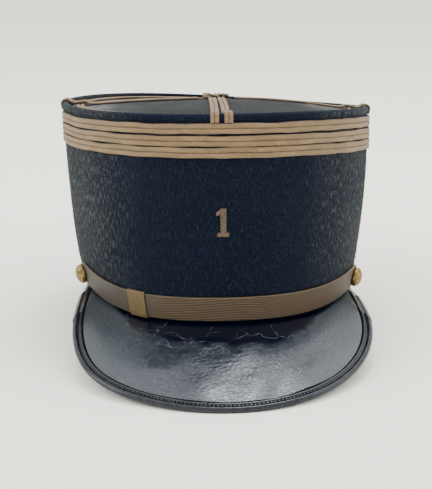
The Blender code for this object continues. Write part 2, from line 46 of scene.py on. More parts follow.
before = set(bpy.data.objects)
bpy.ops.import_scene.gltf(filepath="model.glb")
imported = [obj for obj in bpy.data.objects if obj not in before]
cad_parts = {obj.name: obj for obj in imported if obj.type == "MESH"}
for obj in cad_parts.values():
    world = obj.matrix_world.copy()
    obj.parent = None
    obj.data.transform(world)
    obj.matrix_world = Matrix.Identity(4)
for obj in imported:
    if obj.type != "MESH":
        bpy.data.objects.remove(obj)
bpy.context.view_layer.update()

# Sampling, as counts of sections round the crown, its braid and its plate
ROUND = 480
BRAID_ROUND = 840
PLATE_ROUND = 320
SEED = 1872


def linear(code):
    """Linear RGB of an sRGB hex colour."""
    parts = [int(code[place:place + 2], 16) / 255 for place in (1, 3, 5)]
    return tuple(part / 12.92 if part <= 0.04045 else ((part + 0.055) / 1.055) ** 2.4 for part in parts)


def distance(name, description, default):
    return bpy.props.FloatProperty(name=name, description=description, default=default, precision=5,
                                   subtype="DISTANCE", unit="LENGTH")


def share(name, description, default):
    return bpy.props.FloatProperty(name=name, description=description, default=default, subtype="FACTOR")


def degrees(name, description, default):
    return bpy.props.FloatProperty(name=name, description=description, default=math.radians(default),
                                   subtype="ANGLE", unit="ROTATION")


def count(name, description, default):
    return bpy.props.IntProperty(name=name, description=description, default=default, min=1)


def colour(name, description, code):
    return bpy.props.FloatVectorProperty(name=name, description=description, default=linear(code), size=3,
                                         subtype="COLOR", min=0.0, max=1.0)


class KepiCrown(bpy.types.PropertyGroup):
    base_width: distance("Base width", "Width of the oval at the base", 0.1618)
    base_length: distance("Base length", "Length of the oval at the base", 0.194)
    top_width: distance("Top width", "Width of the oval at the rim", 0.1834)
    top_length: distance("Top length", "Length of the oval at the rim", 0.1812)
    top_shift: distance("Top shift", "How far back the rim's oval lies", -0.0015)
    height: distance("Height", "Mean height of the rim over the base", 0.1164)
    back_rise: distance("Back rise", "How much taller the back is than the mean", 0.0037)
    left_rise: distance("Left rise", "How much taller the left is than the mean", 0.0028)
    rim_twist: distance("Rim twist", "Height of the rim's warp at its four corners", 0.0015)
    side_swell: distance("Side swell", "How far the wall bulges at half height", 0.0030)
    hem_tuck: distance("Hem tuck", "How far the lower edge turns in", 0.0007)
    hem_height: distance("Hem height", "Height that the turn of the lower edge takes", 0.014)
    edge_arch: distance("Edge arch", "How far the lower edge arches up at the sides", 0.0134)
    edge_arch_power: share("Edge arch power", "How narrow the arch at each side is", 5.0)
    edge_arch_lean: share("Edge arch lean", "How much higher the arch is at the left", 0.28)
    wall: distance("Wall", "Thickness of the cloth and its stiffening", 0.0025)
    rim_roll: distance("Rim roll", "Height of the padded roll round the top", 0.0042)
    roll_proud: distance("Roll proud", "How far the roll stands out from the wall", 0.0011)
    plate_recess: distance("Plate recess", "Depth of the top plate's edge under the rim", 0.0038)
    plate_dome: distance("Plate dome", "Height of the top plate's dome", 0.0062)
    plate_thickness: distance("Plate thickness", "Thickness of the top plate", 0.002)
    clearance: distance("Clearance", "Gap between pieces that lie on each other", 0.0003)
    settle: distance("Settle", "How far soft edges are pressed flat where the cap rests", 0.0005)
    unevenness: distance("Unevenness", "Size of the soft dents in the stiffened cloth", 0.0003)
    felt_grain: distance("Felt grain", "Height of the matted wool's surface", 0.00006)
    fibres: count("Loose fibres", "Number of wool fibres that stand off the cloth", 10800)
    lint: count("Lint", "Number of pale bits of lint on the cloth", 36)
    fibre_length: distance("Fibre length", "Length of a loose wool fibre", 0.0016)


class KepiBraid(bpy.types.PropertyGroup):
    width: distance("Ring width", "Width of a braid round the crown", 0.0058)
    thickness: distance("Ring thickness", "Thickness of that braid", 0.0014)
    rings: count("Rings", "Number of rings under the rim", 3)
    gap: distance("Gap", "Gap between two rings", 0.0004)
    first_gap: distance("First gap", "Extra gap under the first ring", 0.0004)
    below_rim: distance("Below rim", "Depth of the first ring under the rim", 0.0052)
    crowding: share("Crowding", "How much closer the rings lie on the left", 0.05)
    waver: distance("Waver", "How far a hand-sewn ring strays from its line", 0.00013)
    ring_inset: distance("Top ring inset", "Distance of the top ring from the plate's edge", 0.0035)
    arm_width: distance("Strip width", "Width of the braid on the top", 0.0048)
    arm_thickness: distance("Strip thickness", "Thickness of the braid on the top", 0.0013)
    arm_spacing: distance("Strip spacing", "Distance between the two strips of a pair", 0.0066)
    arm_closing: distance("Strip closing", "Distance between the strips at the knot", 0.0052)
    knot_radius: distance("Knot radius", "Reach of the centre knot's loops", 0.0092)
    knot_loop: distance("Knot loop", "Radius of the circle that makes the loops", 0.0033)
    knot_band: distance("Knot band", "Width of the knot's band", 0.0030)
    knot_weave: distance("Knot weave", "Rise and fall of the band at its crossings", 0.0011)


class KepiStrap(bpy.types.PropertyGroup):
    width: distance("Width", "Width of the chin strap", 0.0130)
    thickness: distance("Thickness", "Thickness of the chin strap", 0.0012)
    standoff: distance("Standoff", "Gap between the strap and the cloth", 0.0012)
    height: distance("Height", "Height of the strap over the crown's lower edge", 0.0009)
    tail: distance("Tail", "Length of strap past a button", 0.0058)
    rib_pitch: distance("Rib pitch", "Distance between two ribs of the lace", 0.0014)
    rib_height: distance("Rib height", "Height of a rib of the lace", 0.00013)
    slide_position: distance("Slide position", "Place of the slide across the front", -0.0455)
    slide_length: distance("Slide length", "Length of the slide along the strap", 0.0130)
    slide_thickness: distance("Slide thickness", "Thickness of the slide's lace", 0.0006)
    slide_ribs: count("Slide ribs", "Number of ribs across the slide", 9)
    button_diameter: distance("Button diameter", "Diameter of a button", 0.0114)
    button_depth: distance("Button depth", "Depth of a button without its shank", 0.0046)
    button_forward: distance("Button forward", "Distance of the buttons in front of the middle", 0.0362)
    shank_diameter: distance("Shank diameter", "Diameter of a button's shank", 0.0024)


class KepiVisor(bpy.types.PropertyGroup):
    flare: distance("Flare", "How much wider the visor is than the base on each side", 0.0009)
    reach: distance("Reach", "Distance of the visor's tip in front of the crown", 0.0620)
    broadest: distance("Broadest", "Distance in front of the middle where it is broadest", 0.0769)
    back: distance("Back", "Length of the rim's arc behind its broadest place", 0.160)
    arc: degrees("Arc", "Angle from the tip to each end", 107.0)
    drop: distance("Drop", "Fall of the tip below the crown's base", 0.0306)
    drop_arc: degrees("Drop arc", "Angle from the tip at which the rim is level with its join", 111.9)
    drop_power: share("Drop power", "How the fall fades from the tip to the ends", 0.57)
    left_corner: distance("Left corner", "How far the front left corner is pushed out", 0.0036)
    corner_arc: degrees("Corner arc", "Angle from the tip to that corner", 54.0)
    corner_spread: degrees("Corner spread", "How far round the rim the push fades", 24.0)
    straightness: share("Straightness", "Share of the fall that is a straight slope", 0.78)
    thickness: distance("Thickness", "Thickness of the leather", 0.0015)
    binding_width: distance("Binding width", "Width of the binding on the visor's faces", 0.0038)
    binding_wall: distance("Binding wall", "Thickness of the binding's leather", 0.0007)
    binding_nose: distance("Binding nose", "Extra leather at the binding's fold", 0.0007)
    flange_lift: distance("Flange lift", "Height of the binding's flange over its slot", 0.0003)
    # The black strip is painted shadow for the gap at the binding's inner edge.
    shadow_strip_width: distance("Seam width", "Width of the black seam inside the binding", 0.001)
    groove_width: distance("Groove width", "Width of the groove inside the bead", 0.0014)
    stitch_pitch: distance("Stitch pitch", "Distance from stitch to stitch", 0.0021)
    stitch_length: distance("Stitch length", "Length of a stitch", 0.0014)
    stitch_width: distance("Stitch width", "Width of the sewing thread", 0.00042)
    crack_width: distance("Crack width", "Width of the widest crack in the varnish", 0.00034)
    crack_lift: distance("Crack lift", "Height of a crack's raised lips", 0.00005)
    crinkle: distance("Crinkle", "Height of the fine wrinkles in the worn middle", 0.00006)


class KepiNumeral(bpy.types.PropertyGroup):
    height: distance("Height", "Height of the numeral", 0.0152)
    width: distance("Width", "Width of the numeral's foot", 0.0072)
    base: distance("Base", "Height of the numeral over the crown's lower edge", 0.0470)
    thickness: distance("Thickness", "Height of the embroidery off the cloth", 0.0008)
    thread: distance("Thread", "Width of an embroidery thread", 0.00042)


class KepiColours(bpy.types.PropertyGroup):
    cloth: colour("Cloth", "Navy wool of the crown", "#020e24")
    # Greyer cloth for the cap's sides: partly worn nap, partly painted sheen at a grazing angle.
    cloth_worn_and_sheen: colour("Worn cloth", "Navy wool where the nap has greyed", "#1c2226")
    # Lighter than the crown's cloth as painted sheen: it stands for overhead light on the top's nap seen at
    # a grazing angle.
    plate: colour("Plate", "Faded wool of the top plate", "#1c2022")
    nap: colour("Nap", "Fibres that stand off the navy wool", "#0c1622")
    lint: colour("Lint", "Pale fibres in the wool", "#73787a")
    braid: colour("Braid", "Body of the tan braid", "#776144")
    braid_light: colour("Worn braid", "Rubbed braid", "#927955")
    braid_groove_shade: colour("Braid groove", "Brown shade in the groove of the braid", "#24150c")
    lace: colour("Lace", "Ribs of the chin strap", "#503b1c")
    lace_plain: colour("Plain lace", "Greyed lace to the left of the slide", "#393125")
    lace_groove_shade: colour("Lace groove", "Shade between the ribs", "#1c130c")
    lace_edge: colour("Lace edge", "Pale selvedge of the strap", "#625438")
    slide: colour("Slide", "Ochre lace of the slide", "#614f2b")
    brass: colour("Brass", "Aged brass of the buttons", "#9c8450")
    brass_dark: colour("Tarnish", "Tarnish on the brass", "#3f2d12")
    # The navy tint is painted light: it stands for the blue cast of reflections and shade on the black
    # varnish.
    leather: colour("Leather", "Black varnish", "#030616")
    # Worn varnish, its grey partly painted reflection of the bright room.
    leather_haze_and_reflection: colour("Leather haze", "Greyed, worn varnish", "#31373c")
    crack: colour("Crack", "Dusty lips of the cracks in the varnish", "#6f7684")
    stitch: colour("Stitch", "Black sewing thread", "#060607")
    thread: colour("Thread", "Tan embroidery thread", "#5f4d37")
    floor: colour("Floor", "Pale paper that the cap lies on", "#fdfdf4")


def crown():
    return bpy.context.scene.kepi_crown


def rim_height(theta):
    """Height of the rim in each direction: its mean, a rise to the back and the left, and a slight twist."""
    c = crown()
    return (c.height + c.back_rise * np.sin(theta) - c.left_rise * np.cos(theta)
            - c.rim_twist * np.sin(2 * theta))


def edge_height(theta):
    """Height of the lower edge: a power of the cosine, which is level at the front and the back and
    arches at the sides, more at the left."""
    c = crown()
    return c.edge_arch * np.abs(np.cos(theta)) ** c.edge_arch_power * (1 - c.edge_arch_lean * np.cos(theta))


def wall_point(theta, up, out=0.0):
    """Point of the crown's outer face: an oval that changes evenly from base to rim with the share up,
    plus a swell of 4 * up * (1 - up), less a tuck that fades over the hem, moved out by a distance."""
    c = crown()
    height = up * rim_height(theta)
    tuck = c.hem_tuck * np.clip(1 - (height - edge_height(theta)) / c.hem_height, 0, 1) ** 2
    grow = c.side_swell * 4 * up * (1 - up) - tuck + out
    across = c.base_width / 2 + (c.top_width - c.base_width) / 2 * up + grow
    along = c.base_length / 2 + (c.top_length - c.base_length) / 2 * up + grow
    x, y = across * np.cos(theta), c.top_shift * up + along * np.sin(theta)
    return np.stack(np.broadcast_arrays(x, y, height), axis=-1)


def below_rim(theta, depth, out=0.0):
    return wall_point(theta, 1 - depth / rim_height(theta), out)


def above_edge(theta, height, out=0.0):
    return wall_point(theta, (edge_height(theta) + height) / rim_height(theta), out)


def plate_height(theta, out):
    """Top face of the plate: a level that follows the rim, weighted by the square of the share out from
    the middle, plus a dome of 1 less that square."""
    c = crown()
    middle = c.height - c.plate_recess
    edge = rim_height(theta) - c.plate_recess
    return middle + (edge - middle) * out ** 2 + c.plate_dome * (1 - out ** 2)


def plate_margin():
    c = crown()
    return max(c.wall, c.rim_roll - c.roll_proud) + c.clearance


def over_plate(x, y, lift):
    """Point over the plate's top face."""
    c = crown()
    across, along = c.top_width / 2 - plate_margin(), c.top_length / 2 - plate_margin()
    out = np.hypot(x / across, (y - c.top_shift) / along)
    theta = np.arctan2((y - c.top_shift) / along, x / across)
    return np.stack(np.broadcast_arrays(x, y, plate_height(theta, out) + lift), axis=-1)


def plate_point(theta, inset, lift):
    """Point over the plate, a distance in from its edge."""
    c = crown()
    across = c.top_width / 2 - plate_margin() - inset
    along = c.top_length / 2 - plate_margin() - inset
    return over_plate(across * np.cos(theta), c.top_shift + along * np.sin(theta), lift)


def turns(number):
    """Angles of a closed round, starting at the back so that the seam lies there."""
    return math.pi / 2 + np.arange(number) * 2 * math.pi / number


def lengths(path, ring=False):
    """Distance along a path of points, with the way back to the start if it is a ring."""
    if ring:
        path = np.concatenate([path, path[:1]])
    return np.concatenate([[0.0], np.cumsum(np.linalg.norm(np.diff(path, axis=0), axis=1))])


def unit(vectors):
    """Vectors at a length of 1."""
    return vectors / np.linalg.norm(vectors, axis=-1, keepdims=True)


def ripple(points, wavelength, seed, waves=14):
    """Smooth noise from -1 to 1 or so: a sum of waves in random directions, with lengths about one size."""
    points = np.asarray(points, float)
    random = np.random.default_rng(SEED + seed)
    total = np.zeros(points.shape[:-1])
    for _ in range(waves):
        direction = random.normal(size=points.shape[-1])
        direction /= np.linalg.norm(direction)
        pace = 2 * math.pi / (wavelength * random.uniform(0.7, 1.5))
        total += np.cos(points @ direction * pace + random.uniform(0, 2 * math.pi))
    return total / math.sqrt(waves)


def tilt():
    """Angle that the cap tips back by, with its visor's tip and its back edge on the surface."""
    c, v = crown(), bpy.context.scene.kepi_visor
    under = v.drop + v.thickness + 2 * c.clearance + v.binding_wall
    return math.atan2(under, c.base_length + v.reach - c.hem_tuck)


def lay_down(points):
    """Turns points from the cap frame about X by the tilt, shifts them so that the back of the top plate
    is where its solid's is, and presses what is under the surface flat."""
    c = crown()
    angle = tilt()
    lift = (c.base_length / 2 - c.hem_tuck) * math.sin(angle) - c.settle

    def turned(place):
        x, y, z = np.moveaxis(place, -1, 0)
        level = y * math.cos(angle) + z * math.sin(angle)
        return np.stack([x, level, z * math.cos(angle) - y * math.sin(angle) + lift], axis=-1)

    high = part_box("top_plate")[1]
    back = turned(below_rim(np.array([math.pi / 2]), c.plate_recess, -plate_margin()))[0, 1]
    placed = turned(points) + (0.0, high[1] - back, 0.0)
    placed[..., 2] = np.maximum(placed[..., 2], 0.0)
    return placed


def skin(name, points, along=None, across=None, ring=False, marks=None, sharp=50.0):
    """Mesh of a closed section carried along a path in the cap frame and laid down: points[i, j] is point
    j of section i. A ring joins its last section to its first, and otherwise each end is closed on the
    section's middle. The UV map holds the distances along and across in metres, and marks are values per
    point."""
    points = lay_down(points)
    n, m = points.shape[:2]
    if along is None:
        along = lengths(points.mean(axis=1), ring)
    if across is None:
        across = lengths(points[n // 2], True)
    rows = np.arange(n * m).reshape(n, m)
    if ring:
        rows = np.concatenate([rows, rows[:1]])
    grid = np.concatenate([rows, rows[:, :1]], axis=1)
    spread = np.stack(np.meshgrid(along[:len(grid)], across, indexing="ij"), axis=-1)

    def corners(table):
        return np.stack([table[:-1, :-1], table[1:, :-1], table[1:, 1:], table[:-1, 1:]], axis=2)

    quads, quad_uv = corners(grid).reshape(-1, 4), corners(spread).reshape(-1, 4, 2)
    places = points.reshape(-1, 3)
    fans, fan_uv = np.zeros((0, 3), int), np.zeros((0, 3, 2))
    if not ring:
        for end, turn in ((0, 1), (-1, -1)):
            edge, edge_uv = grid[end], spread[end]
            pole = np.full(m, len(places))
            places = np.concatenate([places, points[end].mean(axis=0)[None]])
            fan = np.stack([pole, edge[:-1], edge[1:]], axis=1)
            middle = np.broadcast_to(edge_uv.mean(axis=0), (m, 2))
            uv = np.stack([middle, edge_uv[:-1], edge_uv[1:]], axis=1)
            if turn < 0:
                fan, uv = fan[:, ::-1], uv[:, ::-1]
            fans, fan_uv = np.concatenate([fans, fan]), np.concatenate([fan_uv, uv])
    halves = np.concatenate([quads[:, :3], quads[:, [0, 2, 3]], fans])
    a, b, c = (places[halves[:, k]] for k in range(3))
    if np.einsum("ij,ij->", a, np.cross(b, c)) < 0:
        quads, quad_uv, fans, fan_uv = quads[:, ::-1], quad_uv[:, ::-1], fans[:, ::-1], fan_uv[:, ::-1]
    if marks:
        extra = len(places) - n * m
        ends = [0, -1][:extra]
        marks = {key: np.concatenate([value.ravel(), [value[k].mean() for k in ends]])
                 for key, value in marks.items()}
    return fill_mesh(name, places, quads, fans,
                     np.concatenate([quad_uv.reshape(-1, 2), fan_uv.reshape(-1, 2)]),
                     marks, sharp)


def fill_mesh(name, places, quads, fans, uv, marks=None, sharp=50.0):
    """Mesh from arrays of points, four-cornered and three-cornered faces and a UV for each corner."""
    mesh = bpy.data.meshes.new(name)
    mesh.vertices.add(len(places))
    mesh.vertices.foreach_set("co", np.ascontiguousarray(places, np.float32).ravel())
    corners = np.concatenate([quads.ravel(), fans.ravel()]).astype(np.int32)
    mesh.loops.add(len(corners))
    mesh.loops.foreach_set("vertex_index", corners)
    starts = np.concatenate([np.arange(len(quads)) * 4, len(quads) * 4 + np.arange(len(fans)) * 3])
    mesh.polygons.add(len(starts))
    mesh.polygons.foreach_set("loop_start", starts.astype(np.int32))
    mesh.update(calc_edges=True)
    layer = mesh.uv_layers.new(name="UVMap")
    layer.data.foreach_set("uv", np.ascontiguousarray(uv, np.float32).ravel())
    for key, value in (marks or {}).items():
        layer = mesh.attributes.new(key, "FLOAT", "POINT")
        layer.data.foreach_set("value", np.ascontiguousarray(value, np.float32))
    mesh.shade_smooth()
    mesh.set_sharp_from_angle(angle=math.radians(sharp))
    return mesh


def add_piece(mesh, material, nodes=()):
    """Object of a finished mesh, riding on the cap in place of its solids."""
    piece = bpy.data.objects.new(mesh.name, mesh)
    bpy.context.scene.collection.objects.link(piece)
    mesh.materials.append(material)
    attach(piece, "root")
    if nodes:
        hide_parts(*nodes)
    return piece


def add_node(tree, kind, inputs=None, stops=None, size=None, **settings):
    """Adds a node: its settings, its sockets' values or the outputs linked to them, and a ramp's stops. A
    pattern's size stretches its coordinates, so that one unit is that many metres in each direction."""
    made = tree.nodes.new("ShaderNode" + kind)
    if size:
        stretch = {"Vector": inputs["Vector"], "Scale": tuple(1 / part for part in size)}
        inputs = {**inputs, "Vector": add_node(tree, "Mapping", stretch).outputs[0]}
    for key, value in settings.items():
        setattr(made, key, value)
    for key, value in (inputs or {}).items():
        if isinstance(value, bpy.types.Node):
            value = value.outputs[0]
        if isinstance(value, bpy.types.NodeSocket):
            tree.links.new(value, made.inputs[key])
        else:
            made.inputs[key].default_value = value
    for number, (place, shade) in enumerate(stops or ()):
        if number >= len(made.color_ramp.elements):
            made.color_ramp.elements.new(place)
        made.color_ramp.elements[number].position = place
        made.color_ramp.elements[number].color = (*shade, 1.0) if len(shade) == 3 else shade
    return made


def start_material(name, roughness, metallic=0.0, **sockets):
    """A material with its node tree and its shader, whose plain sockets are set here."""
    material = bpy.data.materials.get(name)
    if material:
        return material, None, None
    material = bpy.data.materials.new(name)
    material.use_nodes = True
    tree = material.node_tree
    shader = tree.nodes["Principled BSDF"]
    shader.inputs["Roughness"].default_value = roughness
    shader.inputs["Metallic"].default_value = metallic
    for key, value in sockets.items():
        shader.inputs[key.replace("_", " ")].default_value = value
    return material, tree, shader


GREYS = ((0.0, 0.0, 0.0), (1.0, 1.0, 1.0))


def tone(value):
    return (*value, 1.0)


def wool(name, body, worn_and_painted_light, streak, laid):
    """Fulled wool broadcloth: a matted nap scatters light, so it stays matt. It is combed down into short
    upright streaks, and towards the cap's sides its colour is painted greyer and streaked pale, partly for
    wear of the nap and partly as painted sheen of the nap seen at a grazing angle. streak is the size of a
    streak in the coordinates named by laid."""
    material, tree, shader = start_material(name, 0.95, Sheen_Weight=0.03, Sheen_Roughness=0.5,
                                            Specular_IOR_Level=0.12)
    if tree is None:
        return material
    shades = bpy.context.scene.kepi_colours
    found = add_node(tree, "TexCoord").outputs
    place = found["Object"]
    marks = add_node(tree, "TexNoise", {"Vector": found[laid], "Scale": 1.0,
                                                  "Detail": 3.0, "Roughness": 0.7}, size=streak)
    cloud = add_node(tree, "TexNoise", {"Vector": place, "Scale": 1.0,
                                                  "Detail": 3.0}, size=(0.016, 0.016, 0.03))
    # Matted fibres make a grain of about 0.3 mm, drawn 0.8 mm across to show.
    grain = add_node(tree, "TexNoise", {"Vector": place,
                                                  "Scale": 1.0, "Detail": 5.0, "Roughness": 0.75},
                                                  size=(0.0008, 0.0008, 0.0008))
    across = add_node(tree, "SeparateXYZ", {0: place}).outputs["X"]
    far = add_node(tree, "Math", {0: across}, operation="ABSOLUTE").outputs[0]
    # Painted sheen: towards the cap's sides the colour is greyed and streaked pale, partly for wear and
    # partly for the sheen of nap seen at a grazing angle.
    side = add_node(tree, "MapRange", {0: far, 1: 0.04, 2: 0.084, 3: 0.1, 4: 1.0},
                    interpolation_type="SMOOTHSTEP").outputs[0]
    rubbed = add_node(tree, "MapRange", {0: cloud, 1: 0.35, 2: 0.65, 3: 0.3, 4: 1.0}).outputs[0]
    wear_and_sheen_mask = add_node(tree, "Math", {0: side, 1: rubbed}, operation="MULTIPLY").outputs[0]
    worn_and_sheen_lit = add_node(tree, "Mix", {0: wear_and_sheen_mask, 6: tone(body), 7: tone(worn_and_painted_light)}, data_type="RGBA").outputs[2]
    combed = add_node(tree, "MapRange", {0: marks, 1: 0.5, 2: 0.68, 3: 0.0, 4: 0.75}).outputs[0]
    grey = add_node(tree, "Math", {0: combed, 1: side}, operation="MULTIPLY").outputs[0]
    streaked = add_node(tree, "Mix", {0: grey, 6: worn_and_sheen_lit, 7: tone(shades.lint)}, data_type="RGBA").outputs[2]
    pepper = add_node(tree, "ValToRGB", {0: grain},
                      stops=((0.38, (0.3, 0.3, 0.3)), (0.58, GREYS[1])))
    peppered = add_node(tree, "Mix", {0: 1.0, 6: streaked, 7: pepper}, data_type="RGBA",
                        blend_type="MULTIPLY").outputs[2]
    salt = add_node(tree, "MapRange", {0: grain, 1: 0.62, 2: 0.74, 3: 0.0, 4: 0.5}).outputs[0]
    shade = add_node(tree, "Mix", {0: salt, 6: peppered, 7: tone(shades.lint)}, data_type="RGBA").outputs[2]
    bump = add_node(tree, "Bump", {"Height": grain, "Strength": 0.7, "Distance": 0.0005})
    tree.links.new(shade, shader.inputs["Base Color"])
    tree.links.new(bump.outputs[0], shader.inputs["Normal"])
    return material


def crown_section(theta, height_rows, turn_rows, inner_rows):
    """Section of the crown's cloth at each angle: up the outer face, round the padded roll as an arc of a
    circle that stands proud of the wall, and down the inner face."""
    c = crown()
    roll = c.rim_roll / 2
    crease = math.acos((roll - c.roll_proud) / roll)
    low = edge_height(theta) / rim_height(theta)
    foot = 1 - (roll + roll * math.sin(crease)) / rim_height(theta)
    rows = [wall_point(theta, low + (foot - low) * part) for part in np.linspace(0, 1, height_rows)]
    for angle in np.linspace(-crease, math.radians(178), turn_rows)[1:]:
        out = c.roll_proud - roll + roll * math.cos(angle)
        rows.append(below_rim(theta, roll - roll * math.sin(angle), out))
    inner = 1 - c.rim_roll * 1.1 / rim_height(theta)
    rows += [wall_point(theta, low + (inner - low) * part, -c.wall) for part in np.linspace(1, 0,
                                                                                            inner_rows)]
    return np.stack(rows, axis=1)


class KEPI_OT_crown(bpy.types.Operator):
    """Build the crown's cloth wall with its rolled rim"""
    bl_idname = "kepi.crown"
    bl_label = "Crown"

    def execute(self, context):
        c, shades = crown(), context.scene.kepi_colours
        theta = turns(ROUND)
        points = crown_section(theta, 76, 22, 22)
        middle = points - (0.0, 0.0, c.height / 2)
        outward = middle / np.linalg.norm(middle * (1.0, 1.0, 0.0), axis=-1, keepdims=True) * (1.0, 1.0,
                                                                                               0.0)
        dents = c.unevenness * ripple(points, 0.05, 1) + c.felt_grain * ripple(points, 0.0022, 2, 22)
        hem = np.clip((points[..., 2:] - edge_height(theta)[:, None, None]) / c.hem_height, 0.15, 1)
        points = points + outward * dents[..., None] * hem
        mesh = skin("crown_cloth", points, ring=True, sharp=70)
        cloth = wool("fulled navy wool", shades.cloth, shades.cloth_worn_and_sheen, (0.0008, 0.0045, 1.0), "UV")
        add_piece(mesh, cloth, ["crown_wall"])
        return {"FINISHED"}


class KEPI_OT_plate(bpy.types.Operator):
    """Build the domed plate that closes the crown's top"""
    bl_idname = "kepi.plate"
    bl_label = "Top plate"

    def execute(self, context):
        c, shades = crown(), context.scene.kepi_colours
        theta = turns(PLATE_ROUND)
        edge = below_rim(theta, c.plate_recess, -plate_margin())
        centre = np.array([0.0, c.top_shift, 0.0])

        def ring(out, lower):
            points = centre + (edge - centre) * out
            points[:, 2] = plate_height(theta, out) - lower
            return points

        top = [ring(out, 0.0) for out in np.linspace(0.008, 1, 76)]
        under = [ring(out, c.plate_thickness) for out in np.linspace(1, 0.03, 14)]
        points = np.stack(top + under)
        points[..., 2] += c.unevenness * 0.5 * ripple(points, 0.03, 3)
        points[..., 2] += c.felt_grain * ripple(points, 0.0025, 4, 22)
        mesh = skin("plate_cloth", points, sharp=60)
        # Painted sheen: the top's cloth is lighter, standing for overhead light on its nap.
        cloth = wool("sheen-lit wool of the top", shades.plate, shades.lint, (0.0022, 0.0022, 0.0022), "Object")
        add_piece(mesh, cloth, ["top_plate"])
        return {"FINISHED"}


def soutache(name):
    """Worsted soutache braid: two cords with thread worked slantwise over both, so light breaks into
    small chevrons; the groove between the cords is painted dark brown as shade and the tops are rubbed pale."""
    material, tree, shader = start_material(name, 0.78, Sheen_Weight=0.15, Sheen_Roughness=0.4)
    if tree is None:
        return material
    shades = bpy.context.scene.kepi_colours
    uv = add_node(tree, "TexCoord").outputs["UV"]
    place = add_node(tree, "TexCoord").outputs["Object"]
    high = add_node(tree, "Attribute", attribute_name="ridge").outputs["Fac"]
    # Painted shade: the colour darkens towards brown as the braid's height falls into the groove between the
    # cords.
    depth = add_node(tree, "ValToRGB", {0: high}, stops=((0.42, tone(shades.braid_groove_shade)),
                                                                  (0.8, tone(shades.braid))))
    cloud = add_node(tree, "TexNoise", {"Vector": place,
                                                  "Scale": 1.0, "Detail": 4.0, "Roughness": 0.6},
                                                  size=(0.012, 0.012, 0.004))
    rubbed = add_node(tree, "ValToRGB", {0: cloud}, stops=((0.45, GREYS[0]), (0.8, GREYS[1])))
    top = add_node(tree, "Math", {0: rubbed, 1: high}, operation="MULTIPLY")
    body = add_node(tree, "Mix", {0: top, 6: depth, 7: tone(shades.braid_light)},
                    data_type="RGBA").outputs[2]
    # Threads of 0.45 mm are drawn 0.7 mm apart, as coarse as they need to be to show.
    thread = add_node(tree, "TexWave", {"Vector": uv, "Scale": 0.31,
                                                  "Distortion": 1.2, "Detail": 2.0, "Detail Scale": 1.5},
                                                  size=(0.0007, 0.0016, 1.0),
                      wave_type="BANDS", bands_direction="DIAGONAL")
    lay = add_node(tree, "ValToRGB", {0: thread},
                   stops=((0.0, (0.72, 0.7, 0.68)), (0.6, GREYS[1])))
    shade = add_node(tree, "Mix", {0: 0.75, 6: body, 7: lay}, data_type="RGBA",
                     blend_type="MULTIPLY").outputs[2]
    bump = add_node(tree, "Bump", {"Height": thread, "Strength": 0.6, "Distance": 0.0004})
    tree.links.new(shade, shader.inputs["Base Color"])
    tree.links.new(bump.outputs[0], shader.inputs["Normal"])
    return material


def braid_section(width, thickness, points=21):
    """Section of a two-corded braid, from edge to edge over its top and back underneath: on each cord the
    height is the thickness times (1 - s * s) to the power 0.35, s running across a cord and a little past
    it. Returns distances across, heights, and the height as a share."""
    across = np.linspace(0, width, points)
    cord = width / 4
    s = np.where(across < width / 2, across - cord, across - 3 * cord) / (cord * 1.07)
    rise = thickness * (1 - s ** 2) ** 0.35
    across = np.concatenate([across, [width, width / 2, 0.0]])
    rise = np.concatenate([rise, [0.0, 0.0, 0.0]])
    return across, rise, rise / thickness


class KEPI_OT_rings(bpy.types.Operator):
    """Build the braid rings under the rim"""
    bl_idname = "kepi.rings"
    bl_label = "Braid rings"

    def execute(self, context):
        c, b = crown(), context.scene.kepi_braid
        theta = turns(BRAID_ROUND)
        crowd = 1 + b.crowding * np.cos(theta)
        start = 0.0
        for number in range(b.rings):
            across, rise, high = braid_section(b.width, b.thickness)
            round_way = np.stack([np.cos(theta), np.sin(theta)], axis=1) * c.top_width / 2
            stray = b.waver * ripple(round_way, 0.03, 10 + number)
            squeeze = 1 + 0.06 * ripple(round_way, 0.02, 20 + number)
            middle = b.width / 2
            rows = []
            for way, up in zip(across, rise):
                depth = b.below_rim + (start + middle + (way - middle) * np.clip(squeeze, 0.9,
                                                                                 1.02)) * crowd
                rows.append(below_rim(theta, depth + stray, c.clearance + up * (0.97 + 0.03 * squeeze)))
            points = np.stack(rows, axis=1)
            marks = {"ridge": np.broadcast_to(high, points.shape[:2])}
            mesh = skin(f"braid_ring_{number + 1}", points, across=np.append(across, 0.0),
                        ring=True,
                        marks=marks)
            add_piece(mesh, soutache("worsted soutache braid"), [f"galon_{number + 1}"])
            start += b.width + b.gap + (b.first_gap if number == 0 else 0.0)
        return {"FINISHED"}


def smooth_path(stops, number):
    """Smooth curve through stops, as a Catmull-Rom spline over each span: every coordinate is a cubic of
    the share along the span, whose slopes at a stop follow its two neighbours."""
    stops = np.asarray(stops, float)
    padded = np.concatenate([2 * stops[:1] - stops[1:2], stops, 2 * stops[-1:] - stops[-2:-1]])
    way = lengths(stops[:, :3])
    at = np.linspace(0, way[-1], number)
    span = np.clip(np.searchsorted(way, at, side="right") - 1, 0, len(stops) - 2)
    t = ((at - way[span]) / (way[span + 1] - way[span]))[:, None]
    a, b, c, d = (padded[span + k] for k in range(4))
    return 0.5 * (2 * b + (c - a) * t
                  + (2 * a - 5 * b + 4 * c - d) * t ** 2 + (3 * b - a - 3 * c + d) * t ** 3)


